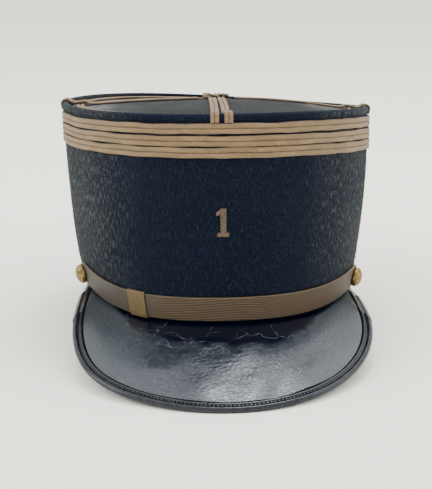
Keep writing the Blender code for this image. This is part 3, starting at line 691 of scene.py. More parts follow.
def arm_stops(facing, side):
    """Centre line of one strip: up the wall, over the roll and in along the plate, with its outward
    direction at each stop, and the direction across the strip."""
    c, b = crown(), bpy.context.scene.kepi_braid
    roll = c.rim_roll / 2
    cross_size = c.base_width / 2 if abs(math.sin(facing)) > 0.5 else c.base_length / 2
    theta = facing + math.asin(side * b.arm_spacing / 2 / cross_size)
    level = np.array([math.cos(facing), math.sin(facing), 0.0])
    up = np.array([0.0, 0.0, 1.0])
    stops = [(below_rim(theta, b.below_rim - c.clearance, c.clearance), level),
             (below_rim(theta, c.rim_roll * 0.8, c.roll_proud * 0.6 + c.clearance), level)]
    for turn in (25.0, 65.0, 105.0, 140.0):
        angle = math.radians(turn)
        reach = roll + c.clearance
        place = below_rim(theta, roll - reach * math.sin(angle),
                          c.roll_proud - roll + reach * math.cos(angle))
        stops.append((place, math.cos(angle) * level + math.sin(angle) * up))
    middle = b.ring_inset + b.arm_width / 2
    for widths in (-0.72, 0.0, 0.72):
        place = plate_point(theta, middle + b.arm_width * widths, b.arm_thickness + 2 * c.clearance)
        stops.append((place, up))
    settled = plate_point(theta, middle + b.arm_width * 1.7, c.clearance)
    across = np.cross(up, level)
    inner = level * (b.knot_radius + b.knot_band / 2 + 2 * c.clearance) + across * side * b.arm_closing / 2
    inner[1] += c.top_shift
    stops.append((settled, up))
    for part in (0.33, 0.66, 1.0):
        place = settled + (inner - settled) * part
        stops.append((over_plate(place[0], place[1], c.clearance), up))
    return np.array([np.concatenate(stop) for stop in stops]), across


class KEPI_OT_top_braid(bpy.types.Operator):
    """Build the ring, the strips and the knot of braid on the crown's top"""
    bl_idname = "kepi.top_braid"
    bl_label = "Top braid"

    def execute(self, context):
        c, b = crown(), context.scene.kepi_braid
        braid = soutache("worsted soutache braid")
        theta = turns(BRAID_ROUND)
        across, rise, high = braid_section(b.arm_width, b.arm_thickness)
        rows = [plate_point(theta, b.ring_inset + way, c.clearance + up) for way, up in zip(across, rise)]
        points = np.stack(rows, axis=1)
        marks = {"ridge": np.broadcast_to(high, points.shape[:2])}
        mesh = skin("top_ring_braid", points, across=np.append(across, 0.0), ring=True,
                    marks=marks)
        add_piece(mesh, braid, ["top_ring"])
        across, rise, high = braid_section(b.arm_width, b.arm_thickness, 17)
        for place, facing in (("front", -90.0), ("right", 0.0), ("back", 90.0), ("left", 180.0)):
            for side, letter in ((-1, "a"), (1, "b")):
                stops, sideways = arm_stops(math.radians(facing), side)
                path = smooth_path(stops, 190)
                normal = unit(path[:, 3:])
                points = (path[:, None, :3] + sideways * (across - b.arm_width / 2)[None, :, None]
                          + normal[:, None] * rise[None, :, None])
                marks = {"ridge": np.broadcast_to(high, points.shape[:2])}
                mesh = skin(f"braid_{place}_{letter}", points, across=np.append(across, 0.0),
                            marks=marks)
                add_piece(mesh, braid, [f"arm_{place}_{letter}"])
        self.build_knot(c, b, braid)
        return {"FINISHED"}

    def build_knot(self, c, b, braid):
        """One endless band: a circle's path plus a smaller circle that turns three times the other way,
        which gives four loops, rising and falling four times so that it passes over and under itself."""
        turn = np.arange(420) * 2 * math.pi / 420
        outer = b.knot_radius - b.knot_loop
        x = outer * np.cos(turn + math.pi / 4) + b.knot_loop * np.cos(3 * turn - math.pi / 4)
        y = outer * np.sin(turn + math.pi / 4) - b.knot_loop * np.sin(3 * turn - math.pi / 4)
        seat = c.height - c.plate_recess + c.plate_dome + c.clearance + b.knot_weave
        path = np.stack([x, y + c.top_shift, seat + b.knot_weave * np.sin(4 * turn)], axis=1)
        along = unit(np.roll(path, -1, axis=0) - np.roll(path, 1, axis=0))
        side = unit(np.cross(along, (0.0, 0.0, 1.0)))
        upward = np.cross(side, along)
        across, rise, high = braid_section(b.knot_band, b.arm_thickness * 0.8, 15)
        points = (path[:, None] + side[:, None] * (across - b.knot_band / 2)[None, :, None]
                  + upward[:, None] * rise[None, :, None])
        marks = {"ridge": np.broadcast_to(high, points.shape[:2])}
        mesh = skin("knot_braid", points, across=np.append(across, 0.0), ring=True, marks=marks)
        add_piece(mesh, braid, ["centre_knot"])


def button_angle():
    return -math.asin(bpy.context.scene.kepi_strap.button_forward / (crown().base_length / 2))


def strap_face(theta, way, out, extra=0.0):
    """Point of the strap at a share of its width and of its thickness, with a distance added outward.
    The strap keeps one height over the crown's lower edge."""
    s = bpy.context.scene.kepi_strap
    return above_edge(theta, s.height + way * s.width, s.standoff + out * s.thickness + extra)


def rib_phase(along, up):
    """Which rib a point of the lace lies on, as a number that grows by 1 from rib to rib. The ribs climb
    a little on the left and sweep down ever more steeply towards the right end."""
    s = bpy.context.scene.kepi_strap
    right = np.clip(along + 0.005, 0, None)
    return (up - 0.08 * along + 133.0 * right ** 3) / s.rib_pitch


def lace(name):
    """Ribbed silk-and-worsted lace: ribs catch light along their tops and the colour between them is painted
    dark as shade, with a pale selvedge down each edge. Where it was handled the ribs are flat and grey."""
    material, tree, shader = start_material(name, 0.62, Sheen_Weight=0.1, Sheen_Roughness=0.4)
    if tree is None:
        return material
    shades = bpy.context.scene.kepi_colours
    uv = add_node(tree, "TexCoord").outputs["UV"]
    rib = add_node(tree, "Attribute", attribute_name="rib").outputs["Fac"]
    edge = add_node(tree, "Attribute", attribute_name="selvedge").outputs["Fac"]
    cloud = add_node(tree, "TexNoise", {"Vector": uv, "Scale": 1.0,
                                                  "Detail": 4.0}, size=(0.009, 0.003, 1.0))
    # Painted shade: the rib mark darkens the colour between the ribs.
    depth = add_node(tree, "ValToRGB", {0: rib}, stops=((0.1, tone(shades.lace_groove_shade)),
                                                                 (0.75, tone(shades.lace))))
    plain = add_node(tree, "Attribute", attribute_name="plain").outputs["Fac"]
    ribbed = add_node(tree, "Mix", {0: plain, 6: depth, 7: tone(shades.lace_plain)},
                      data_type="RGBA").outputs[2]
    dull = add_node(tree, "ValToRGB", {0: cloud},
                    stops=((0.3, (0.72, 0.7, 0.72)), (0.7, GREYS[1])))
    body = add_node(tree, "Mix", {0: 1.0, 6: ribbed, 7: dull}, data_type="RGBA",
                    blend_type="MULTIPLY").outputs[2]
    shade = add_node(tree, "Mix", {0: edge, 6: body, 7: tone(shades.lace_edge)},
                     data_type="RGBA").outputs[2]
    weft = add_node(tree, "TexWave", {"Vector": uv, "Scale": 0.314,
                                                "Distortion": 0.6}, size=(0.0006, 0.0006, 1.0),
                                                wave_type="BANDS", bands_direction="X")
    bump = add_node(tree, "Bump", {"Height": weft, "Strength": 0.35, "Distance": 0.0002})
    tree.links.new(shade, shader.inputs["Base Color"])
    tree.links.new(bump.outputs[0], shader.inputs["Normal"])
    return material


class KEPI_OT_strap(bpy.types.Operator):
    """Build the ribbed chin strap"""
    bl_idname = "kepi.strap"
    bl_label = "Chin strap"

    def execute(self, context):
        c, s = crown(), context.scene.kepi_strap
        end = button_angle() + s.tail / (c.base_length / 2)
        theta = np.linspace(-math.pi - end, end, 640)
        along = lengths(strap_face(theta, 0.5, 1.0))
        along -= np.interp(-math.pi / 2, theta, along)
        face = np.linspace(0, 1, 54)
        tip = np.clip((along[-1] - np.abs(along)) / (s.width / 2), 0, 1)
        narrow = np.sqrt(1 - (1 - tip) ** 2) * 0.92 + 0.08
        right_of_slide = np.clip((along - s.slide_position) / s.slide_length, 0, 1)
        rows, ribs, edges = [], [], []
        for way in face:
            up = (way - 0.5) * s.width
            wave = 0.5 + 0.5 * np.cos(2 * math.pi * rib_phase(along, up))
            # The rib mark also sets the lace's painted shade between the ribs; left of the slide it is one
            # middle value.
            rib = wave * right_of_slide + 0.55 * (1 - right_of_slide)
            selvedge = 0.7 * math.exp(-((min(way, 1 - way) - 0.012) / 0.017) ** 2)
            rows.append(strap_face(theta, 0.5 + (way - 0.5) * narrow,
                                   1.0 - 0.5 * max(0, 1 - min(way, 1 - way) / 0.03) ** 2,
                                   s.rib_height * (rib - 1)))
            ribs.append(rib)
            edges.append(np.full(len(theta), selvedge))
        for way in np.linspace(1, 0, 7):
            rows.append(strap_face(theta, 0.5 + (way - 0.5) * narrow, 0.0))
            ribs.append(np.full(len(theta), 0.4))
            edges.append(np.zeros(len(theta)))
        points = np.stack(rows, axis=1)
        across = np.concatenate([face * s.width, np.linspace(1, 0, 7) * s.width, [0.0]])
        plain = np.broadcast_to(1 - right_of_slide[:, None], points.shape[:2])
        marks = {"rib": np.stack(ribs, axis=1), "selvedge": np.stack(edges, axis=1), "plain": plain}
        mesh = skin("ribbed_chin_strap", points, along=along, across=across, marks=marks)
        add_piece(mesh, lace("ribbed brown lace"), ["chin_strap"])
        return {"FINISHED"}


def slide_lace(name):
    """Stiff ochre lace: close upright cords with a little lustre, painted darker in the grooves between them
    as shade, so their tops stand paler.
    """
    material, tree, shader = start_material(name, 0.6)
    if tree is None:
        return material
    shades = bpy.context.scene.kepi_colours
    rib = add_node(tree, "Attribute", attribute_name="rib").outputs["Fac"]
    place = add_node(tree, "TexCoord").outputs["Object"]
    cloud = add_node(tree, "TexNoise", {"Vector": place, "Scale": 1.0,
                                                  "Detail": 3.0}, size=(0.001, 0.001, 0.004))
    # Painted shade: the grooves between the ribs are half as bright as the ribs' tops.
    dark = tuple(part * 0.5 for part in shades.slide)
    depth = add_node(tree, "ValToRGB", {0: rib}, stops=((0.0, tone(dark)), (0.6, tone(shades.slide))))
    dull = add_node(tree, "ValToRGB", {0: cloud},
                    stops=((0.3, (0.78, 0.76, 0.72)), (0.7, GREYS[1])))
    shade = add_node(tree, "Mix", {0: 1.0, 6: depth, 7: dull}, data_type="RGBA",
                     blend_type="MULTIPLY").outputs[2]
    tree.links.new(shade, shader.inputs["Base Color"])
    bump = add_node(tree, "Bump", {"Height": cloud, "Strength": 0.3, "Distance": 0.0002})
    tree.links.new(bump.outputs[0], shader.inputs["Normal"])
    return material


class KEPI_OT_slide(bpy.types.Operator):
    """Build the slide that runs on the strap"""
    bl_idname = "kepi.slide"
    bl_label = "Strap slide"

    def execute(self, context):
        c, s = crown(), context.scene.kepi_strap
        middle = -math.pi / 2 + math.asin(s.slide_position / (c.base_width / 2))
        reach = math.atan2(s.slide_length / 2, c.base_length / 2)
        theta = np.linspace(middle - reach, middle + reach, 64)
        turn = np.linspace(0, 2 * math.pi, 72, endpoint=False)
        boxed = np.stack([np.cos(turn), np.sin(turn)], axis=1)
        boxed /= (np.abs(boxed) ** 7).sum(axis=1, keepdims=True) ** (1 / 7)
        ribs = np.abs(np.sin(math.pi * s.slide_ribs * np.linspace(0, 1, 64))) ** 0.6
        loops, marks = [], []
        for skin_out, way in ((s.slide_thickness, 1), (0.0, -1)):
            half_up = s.width / 2 + c.clearance + skin_out
            half_out = s.thickness / 2 + c.clearance + skin_out
            level = s.height + s.width / 2
            relief = (ribs - 1) * 0.00022 * (skin_out > 0)
            height = level + boxed[:, 0] * half_up
            out = s.standoff + s.thickness / 2 + boxed[:, 1] * (half_out + relief[:, None])
            loop = above_edge(theta[:, None], height, out)
            loops.append(loop[::way])
            marks.append(np.broadcast_to(ribs[:, None], out.shape)[::way])
        points = np.concatenate(loops)
        mesh = skin("ribbed_slide", points, ring=True, marks={"rib": np.concatenate(marks)})
        add_piece(mesh, slide_lace("stiff ochre lace"), ["strap_slide"])
        return {"FINISHED"}


def button_seat(side):
    """Place of a button on the wall, and three directions: across, up and outward."""
    c, s = crown(), bpy.context.scene.kepi_strap
    theta = button_angle() if side > 0 else -math.pi - button_angle()
    step = s.button_diameter / 2
    turn = step / (c.base_length / 2)
    height = s.height + s.width / 2
    seat = above_edge(theta, height)
    along = above_edge(theta + turn, height) - above_edge(theta - turn, height)
    up = above_edge(theta, height + step) - above_edge(theta, height - step)
    outward = np.cross(along, up)
    return seat, unit(np.stack([along, np.cross(outward, along), outward]))


def aged_brass(name):
    """Stamped brass sheet, aged: warm metal with a soft shine where it is rubbed and brown tarnish in
    its hollows. It keeps the default IOR."""
    material, tree, shader = start_material(name, 0.38, metallic=0.9)
    if tree is None:
        return material
    shades = bpy.context.scene.kepi_colours
    place = add_node(tree, "TexCoord").outputs["Object"]
    cloud = add_node(tree, "TexNoise", {"Vector": place, "Scale": 1.0,
                                                  "Detail": 6.0, "Roughness": 0.7},
                                                  size=(0.002, 0.002, 0.002))
    shade = add_node(tree, "ValToRGB", {0: cloud},
                     stops=((0.3, tone(shades.brass_dark)), (0.62, tone(shades.brass))))
    dull = add_node(tree, "ValToRGB", {0: cloud},
                    stops=((0.3, (0.6, 0.6, 0.6)), (0.7, (0.32, 0.32, 0.32))))
    tree.links.new(shade.outputs[0], shader.inputs["Base Color"])
    tree.links.new(dull.outputs[0], shader.inputs["Roughness"])
    bump = add_node(tree, "Bump", {"Height": cloud, "Strength": 0.25, "Distance": 0.0003})
    tree.links.new(bump.outputs[0], shader.inputs["Normal"])
    return material


class KEPI_OT_buttons(bpy.types.Operator):
    """Build the two brass buttons that hold the strap"""
    bl_idname = "kepi.buttons"
    bl_label = "Buttons"

    def execute(self, context):
        c, s = crown(), context.scene.kepi_strap
        back = s.standoff + s.thickness + c.clearance
        radius, shank, lip = s.button_diameter / 2, s.shank_diameter / 2, 0.0006
        dome = s.button_depth - lip
        angle = np.linspace(math.radians(12), math.radians(89), 30)
        bead = 0.00022 * np.exp(-((np.degrees(angle) - 24) / 5) ** 2)
        reach = np.concatenate([[shank * 0.4, shank, shank, radius * 0.94, radius * 0.985, radius],
                                (radius + bead) * np.cos(angle)])
        out = np.concatenate([[c.clearance, c.clearance, back, back, back + lip * 0.35, back + lip],
                              back + lip + (dome + bead) * np.sin(angle)])
        around = np.arange(64) * 2 * math.pi / 64
        flat = np.stack([reach[:, None] * np.cos(around), reach[:, None] * np.sin(around),
                         np.broadcast_to(out[:, None], (len(out), 64))], axis=-1)
        for side, name in ((-1, "left"), (1, "right")):
            seat, axes = button_seat(side)
            mesh = skin(f"brass_button_{name}", seat + flat @ axes)
            add_piece(mesh, aged_brass("aged stamped brass"), [f"button_{name}"])
        return {"FINISHED"}


def visor_join(phi):
    """Angle of the base oval that a line of the visor starts from."""
    c, v = crown(), bpy.context.scene.kepi_visor
    spread = math.acos((v.broadest + v.back * math.cos(v.arc)) / (c.base_length / 2))
    return -math.pi / 2 + phi / v.arc * spread


def visor_point(phi, way):
    """Middle of the leather at a share of the way from the wall to the rim. The rim is half an ellipse in
    front of its broadest line and a longer one behind it, pushed out by a bell curve round its left
    corner, and falls by a power of a cosine from the tip."""
    c, v = crown(), bpy.context.scene.kepi_visor
    start = above_edge(visor_join(phi), 0.0)
    depth = np.where(np.cos(phi) > 0, c.base_length / 2 + v.reach - v.broadest, v.back)
    corner = v.left_corner * np.exp(-((phi + v.corner_arc) / v.corner_spread) ** 2)
    rim_x = (c.base_width / 2 + v.flare) * np.sin(phi) - corner * math.sin(v.corner_arc)
    rim_y = -v.broadest - depth * np.cos(phi) - corner * math.cos(v.corner_arc)
    turn = np.clip(np.abs(phi) / v.drop_arc, 0, 1)
    drop = v.drop * ((1 + np.cos(math.pi * turn)) / 2) ** v.drop_power
    fall = drop * (v.straightness * way + (1 - v.straightness) * way ** 2)
    x, y = start[..., 0], start[..., 1]
    level = start[..., 2] - c.clearance - v.thickness / 2
    return np.stack(np.broadcast_arrays(x + (rim_x - x) * way, y + (rim_y - y) * way, level - fall),
                    axis=-1)


def visor_frame(phi, way):
    """Point and upward normal of the leather's middle, the normal from small steps both ways."""
    step = 1e-4
    out = visor_point(phi, way + step) - visor_point(phi, way - step)
    along = visor_point(phi + step, way) - visor_point(phi - step, way)
    normal = unit(np.cross(along, out))
    return visor_point(phi, way), normal * np.sign(normal[..., 2:])


def depth_behind_rim(phi):
    """Depth of the leather from the wall to its rim, measured square to the rim."""
    step = 1e-4
    along = visor_point(phi + step, 1.0) - visor_point(phi - step, 1.0)
    out = visor_point(phi, 1.0) - visor_point(phi, 0.0)
    return np.linalg.norm(np.cross(along, out), axis=-1) / np.linalg.norm(along, axis=-1)


# Cracks of the varnish: distance across from the middle and out from the wall, in mm
CRACKS = (
    ((-53, 22), (-52.5, 18), (-54, 13), (-53, 8), (-54, 4.5), (-53, 1)),
    ((-53, 22), (-44.5, 21), (-41, 18.5)),
    ((-48, 12), (-37.5, 11.5), (-26.5, 12.5), (-22.5, 16.5), (-17.5, 16)),
    ((-40.5, 23.5), (-39, 18), (-35.5, 9.5), (-30, 1.5)),
    ((-40.5, 23.5), (-33, 23.5), (-26.5, 24)),
    ((-26.5, 26.5), (-22.5, 24.5), (-20.5, 21), (-10.5, 19), (-3, 23), (2.5, 28), (9, 33.5), (14.5, 37.5),
     (20, 36.5)),
    ((-10.5, 19), (-9, 12.5), (-8, 7), (-4.5, 3)),
    ((-9.5, 41), (-6, 40), (1, 39), (6.5, 35.5)),
    ((-11, 45), (-9.5, 59)),
    ((-43.5, 44), (-40, 35)),
    ((-32.5, 16), (-31, 22)),
    ((0, 20), (6.5, 16), (14, 13.5), (18, 13.5), (21.5, 16.5), (29, 18), (37, 17.5), (44, 17)),
    ((29, 18), (26, 9.5), (23.5, 4)),
    ((34.5, 28), (34, 41)),
    ((36, 53), (37, 63)),
    ((8, 7), (12, 14)),
    ((55, 30), (58.5, 37)),
    ((56.5, 47), (57.5, 57)),
    ((9, 26), (16, 25.5), (22.5, 26.5)),
    ((38, 47), (34.5, 50), (28, 44)),
)


def on_visor(place):
    """Finds where a place lies on the visor, given across from the middle and out from the wall: the line
    of the visor that passes through it, and the share of the way along that line."""
    v = bpy.context.scene.kepi_visor
    lines = np.linspace(-v.arc, v.arc, 3001)
    start, rim = visor_point(lines, 0.0), visor_point(lines, 1.0)
    length = np.linalg.norm(rim - start, axis=-1)
    way = place[..., 1:] / length
    across = start[:, 0] + (rim[:, 0] - start[:, 0]) * way
    nearest = np.abs(across - place[..., :1]).argmin(axis=-1)
    return lines[nearest], np.clip(place[..., 1] / length[nearest], 0.02, 0.9)


def haze_and_reflection(place):
    """Haze on the varnish: nothing near the wall, rising to full past a wavy edge that lies nearer to the
    wall towards the sides, and up to 2.7 times as much on the lobes at the sides, where the extra grey is
    painted reflection of the bright room."""
    edge = 0.021 * np.clip(1.25 - (place[..., 0] / 0.056) ** 2, 0, 1)
    # Painted reflection: the side lobes raise the mask to stand for the bright room reflected there.
    lobes = 1 + 1.7 / (1 + np.exp(-(np.abs(place[..., 0] + 0.004) - 0.05) / 0.006))
    return lobes / (1 + np.exp(-(place[..., 1] - edge + 0.002 * ripple(place, 0.012, 33)) / 0.0013))


def relief(place):
    """Height of the varnish over the visor's plain shape: soft waves, and sharp little folds made by the
    size of a wave without its sign in the worn middle."""
    v = bpy.context.scene.kepi_visor
    x, out = place[..., 0], place[..., 1]
    wrinkled = np.exp(-((x + 0.004) / 0.045) ** 2) * haze_and_reflection(place) * np.clip(1.3 - out / 0.055, 0, 1)
    folds = v.crinkle * wrinkled * (np.abs(ripple(place, 0.0045, 34, 20)) - 0.6) * 1.6
    return folds + 0.00022 * ripple(place, 0.03, 35) * np.clip(out / 0.01, 0, 1)


def patent_leather(name):
    """Patent leather: black linseed varnish on hide, with a mirror's gloss where it is sound. Age crazes
    it and rubs its slope to a grey, dull film that spreads reflections; on the side lobes that grey is
    painted stronger as reflection of the room."""
    material, tree, shader = start_material(name, 0.1, IOR=1.52, Specular_Tint=(0.86, 0.92, 1.0, 1.0))
    if tree is None:
        return material
    shades = bpy.context.scene.kepi_colours
    haze_reflection = add_node(tree, "Attribute", attribute_name="haze_reflection").outputs["Fac"]
    place = add_node(tree, "TexCoord").outputs["Object"]
    cloud = add_node(tree, "TexNoise", {"Vector": place, "Scale": 1.0,
                                                  "Detail": 6.0, "Roughness": 0.65},
                                                  size=(0.006, 0.006, 0.006))
    worn_and_painted_light = add_node(tree, "Math", {0: haze_reflection, 1: cloud}, operation="MULTIPLY")
    # Fine crazing lies 2 to 3.5 mm apart.
    craze = add_node(tree, "TexVoronoi", {"Vector": place, "Scale": 1.0}, size=(0.0035, 0.0022, 0.0022),
                     feature="DISTANCE_TO_EDGE")
    lines = add_node(tree, "ValToRGB", {0: craze.outputs["Distance"]},
                     stops=((0.0, GREYS[1]), (0.06, GREYS[0])))
    fine = add_node(tree, "Math", {0: lines, 1: worn_and_painted_light}, operation="MULTIPLY")
    # Painted reflection: the grey colour, strongest on the side lobes, is partly worn varnish and partly
    # reflected room.
    shade = add_node(tree, "Mix",
                     {0: worn_and_painted_light, 6: tone(shades.leather), 7: tone(shades.leather_haze_and_reflection)},
                     data_type="RGBA").outputs[2]
    rough = add_node(tree, "MapRange", {0: worn_and_painted_light, 1: 0.0, 2: 0.6, 3: 0.05, 4: 0.29})
    height = add_node(tree, "Math", {0: cloud, 1: fine}, operation="SUBTRACT")
    bump = add_node(tree, "Bump", {"Height": height, "Strength": 0.14, "Distance": 0.0006})
    tree.links.new(shade, shader.inputs["Base Color"])
    tree.links.new(rough.outputs[0], shader.inputs["Roughness"])
    tree.links.new(bump.outputs[0], shader.inputs["Normal"])
    return material


def lifted_varnish(name):
    """Broken varnish along a crack: its lips are dull with dust and shine pale, and fade in and out."""
    material, tree, shader = start_material(name, 0.35)
    if tree is None:
        return material
    shades = bpy.context.scene.kepi_colours
    place = add_node(tree, "TexCoord").outputs["Object"]
    cloud = add_node(tree, "TexNoise", {"Vector": place, "Scale": 1.0,
                                                  "Detail": 3.0}, size=(0.004, 0.004, 0.004))
    shade = add_node(tree, "ValToRGB", {0: cloud},
                     stops=((0.38, tone(shades.leather)), (0.6, tone(shades.crack))))
    tree.links.new(shade.outputs[0], shader.inputs["Base Color"])
    return material


class KEPI_OT_visor(bpy.types.Operator):
    """Build the crazed patent-leather visor"""
    bl_idname = "kepi.visor"
    bl_label = "Visor"

    def execute(self, context):
        c, v = crown(), context.scene.kepi_visor
        phi = np.linspace(-v.arc, v.arc, 520)[:, None]
        half = v.thickness / 2
        top_way = np.linspace(0, 1, 112)[None]
        under_way = np.linspace(1, 0, 24)[None]
        length = np.linalg.norm(visor_point(phi, 1.0) - visor_point(phi, 0.0), axis=-1)
        point, normal = visor_frame(phi, top_way)
        out = np.broadcast_to(top_way * length, point.shape[:2])
        place = np.stack([point[..., 0], out], axis=-1)
        fade = np.clip((1 - top_way) / 0.06, 0, 1) * np.clip(top_way / 0.03, 0, 1)
        lift = relief(place)
        top = point + normal * (half + lift * fade)[..., None]
        base, down = visor_frame(phi, under_way)
        under = base - down * half
        tucked = above_edge(visor_join(phi), 0.0, -c.wall)
        tucked[..., 2] -= c.clearance + half
        rise = np.array([0.0, 0.0, half])
        points = np.concatenate([tucked + rise, top, under, tucked - rise], axis=1)

        def padded(values, ends=0.0):
            return np.concatenate([np.full((len(phi), 1), ends), values, np.full((len(phi), 25), ends)],
                                  axis=1)

        mesh = skin("patent_leather_visor", points, marks={"haze_reflection": padded(haze_and_reflection(place), 0.4)})
        add_piece(mesh, patent_leather("crazed patent leather"), ["visor"])
        self.build_cracks(v)
        return {"FINISHED"}

    def build_cracks(self, v):
        """Cracks as thin threads of lifted varnish: each line is smoothed, has one short branch and strays
        to and fro, and its width comes and goes."""
        random = np.random.default_rng(SEED + 7)
        mains = [smooth_path(np.array(crack) * 0.001, 70) for crack in CRACKS]
        branches = []
        for main in mains:
            for at in random.integers(6, 64, 1):
                heading = main[at + 1] - main[at - 1]
                turn = math.atan2(heading[1], heading[0]) + random.choice([-1, 1]) * random.uniform(0.6,
                                                                                                    1.3)
                reach = random.uniform(0.002, 0.0075)
                branches.append(main[at] + np.linspace(0, reach, 70)[:, None] * (math.cos(turn),
                                                                                 math.sin(turn)))
        place = np.stack(mains + branches)
        place += np.stack([ripple(place, 0.006, 31), ripple(place, 0.006, 32)], axis=-1) * 0.0007
        place += np.stack([ripple(place, 0.0016, 36), ripple(place, 0.0016, 37)], axis=-1) * 0.00006
        place[..., 1] = np.maximum(place[..., 1], 0.001)
        swell = np.clip(0.55 + 0.4 * ripple(place, 0.004, 38), 0.12, 1.0)
        swell[len(mains):] *= 0.6
        phi, way = on_visor(place)
        point, normal = visor_frame(phi, way)
        height = v.thickness / 2 + relief(place)
        path = lay_down(point + normal * height[..., None])
        upward = unit(lay_down(point + normal * (height + 0.001)[..., None]) - path)
        mesh = strands("varnish_cracks", path, upward, v.crack_width / 2, v.crack_lift, sides=5, taper=0.1,
                       swell=swell)
        add_piece(mesh, lifted_varnish("dusty cracked varnish"))


def binding_section():
    """Section of the binding, as distance past the rim and off the leather's middle: a stitched flange on
    top, a groove, a round bead over the edge, and a flange underneath that is flat where the cap rests."""
    c, v = crown(), bpy.context.scene.kepi_visor
    slot = v.thickness / 2 + c.clearance
    top = slot + v.binding_wall
    nose = c.clearance + v.binding_wall + v.binding_nose
    width = v.binding_width
    turn = np.radians(np.linspace(128, -90, 26))
    bead = np.stack([nose - top + top * np.cos(turn), top * np.sin(turn)], axis=1)
    crown_of_flange = (nose - top + top * math.cos(turn[0])) - v.groove_width
    flange = np.linspace(-width, crown_of_flange, 14)
    swell = np.sin(np.linspace(0.35, math.pi - 0.5, 14)) ** 0.5
    over = np.stack([flange, slot + v.flange_lift * swell], axis=1)
    groove = np.array([[crown_of_flange + v.groove_width * 0.3, slot + 0.0001],
                       [crown_of_flange + v.groove_width * 0.75, slot + 0.0001]])
    under = np.array([[-0.0008, -top], [-width * 0.7, -top], [-width, -top * 0.94], [-width, -slot],
                      [0.0, -slot], [c.clearance, -slot], [c.clearance, slot], [0.0, slot], [-width, slot]])
    return np.concatenate([over, groove, bead, under])


def binding_leather(name):
    """Calf binding under the same varnish: glossy on its bead, grey with handling, and finely grained."""
    material, tree, shader = start_material(name, 0.24, IOR=1.5, Specular_IOR_Level=0.36)
    if tree is None:
        return material
    shades = bpy.context.scene.kepi_colours
    place = add_node(tree, "TexCoord").outputs["Object"]
    cloud = add_node(tree, "TexNoise", {"Vector": place, "Scale": 1.0,
                                                  "Detail": 6.0, "Roughness": 0.7},
                                                  size=(0.003, 0.003, 0.003))
    shade = add_node(tree, "ValToRGB", {0: cloud},
                     stops=((0.35, tone(shades.leather)), (1.0, tone(shades.leather_haze_and_reflection))))
    dull = add_node(tree, "ValToRGB", {0: cloud},
                    stops=((0.3, (0.1, 0.1, 0.1)), (0.7, (0.22, 0.22, 0.22))))
    bump = add_node(tree, "Bump", {"Height": cloud, "Strength": 0.25, "Distance": 0.0004})
    tree.links.new(shade.outputs[0], shader.inputs["Base Color"])
    tree.links.new(dull.outputs[0], shader.inputs["Roughness"])
    tree.links.new(bump.outputs[0], shader.inputs["Normal"])
    return material


def shadow_black(name):
    """Painted shadow: soot-black and matt, so the strip stays the darkest line on the visor, where it stands
    for the shadow gap at the binding's inner edge.
    """
    material, tree, shader = start_material(name, 0.9, Specular_IOR_Level=0.05)
    if tree is None:
        return material
    place = add_node(tree, "TexCoord").outputs["Object"]
    cloud = add_node(tree, "TexNoise", {"Vector": place, "Scale": 1.0}, size=(0.004, 0.004, 0.004))
    shade = add_node(tree, "ValToRGB", {0: cloud},
                     stops=((0.4, (0.0006, 0.0008, 0.001, 1.0)), (0.8, (0.004, 0.005, 0.006, 1.0))))
    tree.links.new(shade.outputs[0], shader.inputs["Base Color"])
    return material


def sewing_thread(name):
    """Waxed linen thread: matt black with a faint shine."""
    material, tree, shader = start_material(name, 0.55)
    if tree is None:
        return material
    shades = bpy.context.scene.kepi_colours
    place = add_node(tree, "TexCoord").outputs["Object"]
    ply = add_node(tree, "TexNoise", {"Vector": place, "Scale": 1.0}, size=(0.0003, 0.0003, 0.0003))
    light = tuple(part * 3 for part in shades.stitch)
    shade = add_node(tree, "ValToRGB", {0: ply},
                     stops=((0.3, tone(shades.stitch)), (0.8, tone(light))))
    tree.links.new(shade.outputs[0], shader.inputs["Base Color"])
    return material


def strands(name, path, normal, half_width, height, sides=6, taper=0.45, swell=1.0):
    """Many small threads in one mesh: path[k, i] is stop i of thread k. Each is a tube whose section is an
    ellipse, as wide as half_width both ways and as high as height, narrowed towards its ends and scaled
    by swell at each stop."""
    side = unit(np.cross(normal, unit(np.gradient(path, axis=1))))
    number, stops = path.shape[:2]
    way = np.linspace(-1, 1, stops)
    size = np.broadcast_to((taper + (1 - taper) * np.sqrt(1 - way ** 4)) * swell, (number, stops))
    turn = np.arange(sides) * 2 * math.pi / sides
    ring = (side[:, :, None] * (half_width * np.cos(turn))[None, None, :, None]
            + normal[:, :, None] * (height * np.sin(turn))[None, None, :, None]) * size[:, :, None, None]
    points = path[:, :, None] + ring
    index = np.arange(number * stops * sides).reshape(number, stops, sides)
    around = np.concatenate([index, index[:, :, :1]], axis=2)
    quads = np.stack([around[:, :-1, :-1], around[:, :-1, 1:], around[:, 1:, 1:], around[:, 1:, :-1]],
                     axis=-1)
    first, last = path[:, 0], path[:, -1]
    base = points.size // 3
    poles = base + np.arange(2 * number).reshape(2, number)
    ahead = np.broadcast_to(poles[0][:, None], (number, sides))
    behind = np.broadcast_to(poles[1][:, None], (number, sides))
    fans = np.concatenate([np.stack([ahead, around[:, 0, 1:], around[:, 0, :-1]], axis=-1).reshape(-1, 3),
                           np.stack([behind, around[:, -1, :-1], around[:, -1, 1:]], axis=-1).reshape(-1,
                                                                                                      3)])
    places = np.concatenate([points.reshape(-1, 3), first, last])
    quads = quads.reshape(-1, 4)
    uv = np.zeros((quads.size + fans.size, 2))
    return fill_mesh(name, places, quads, fans, uv)


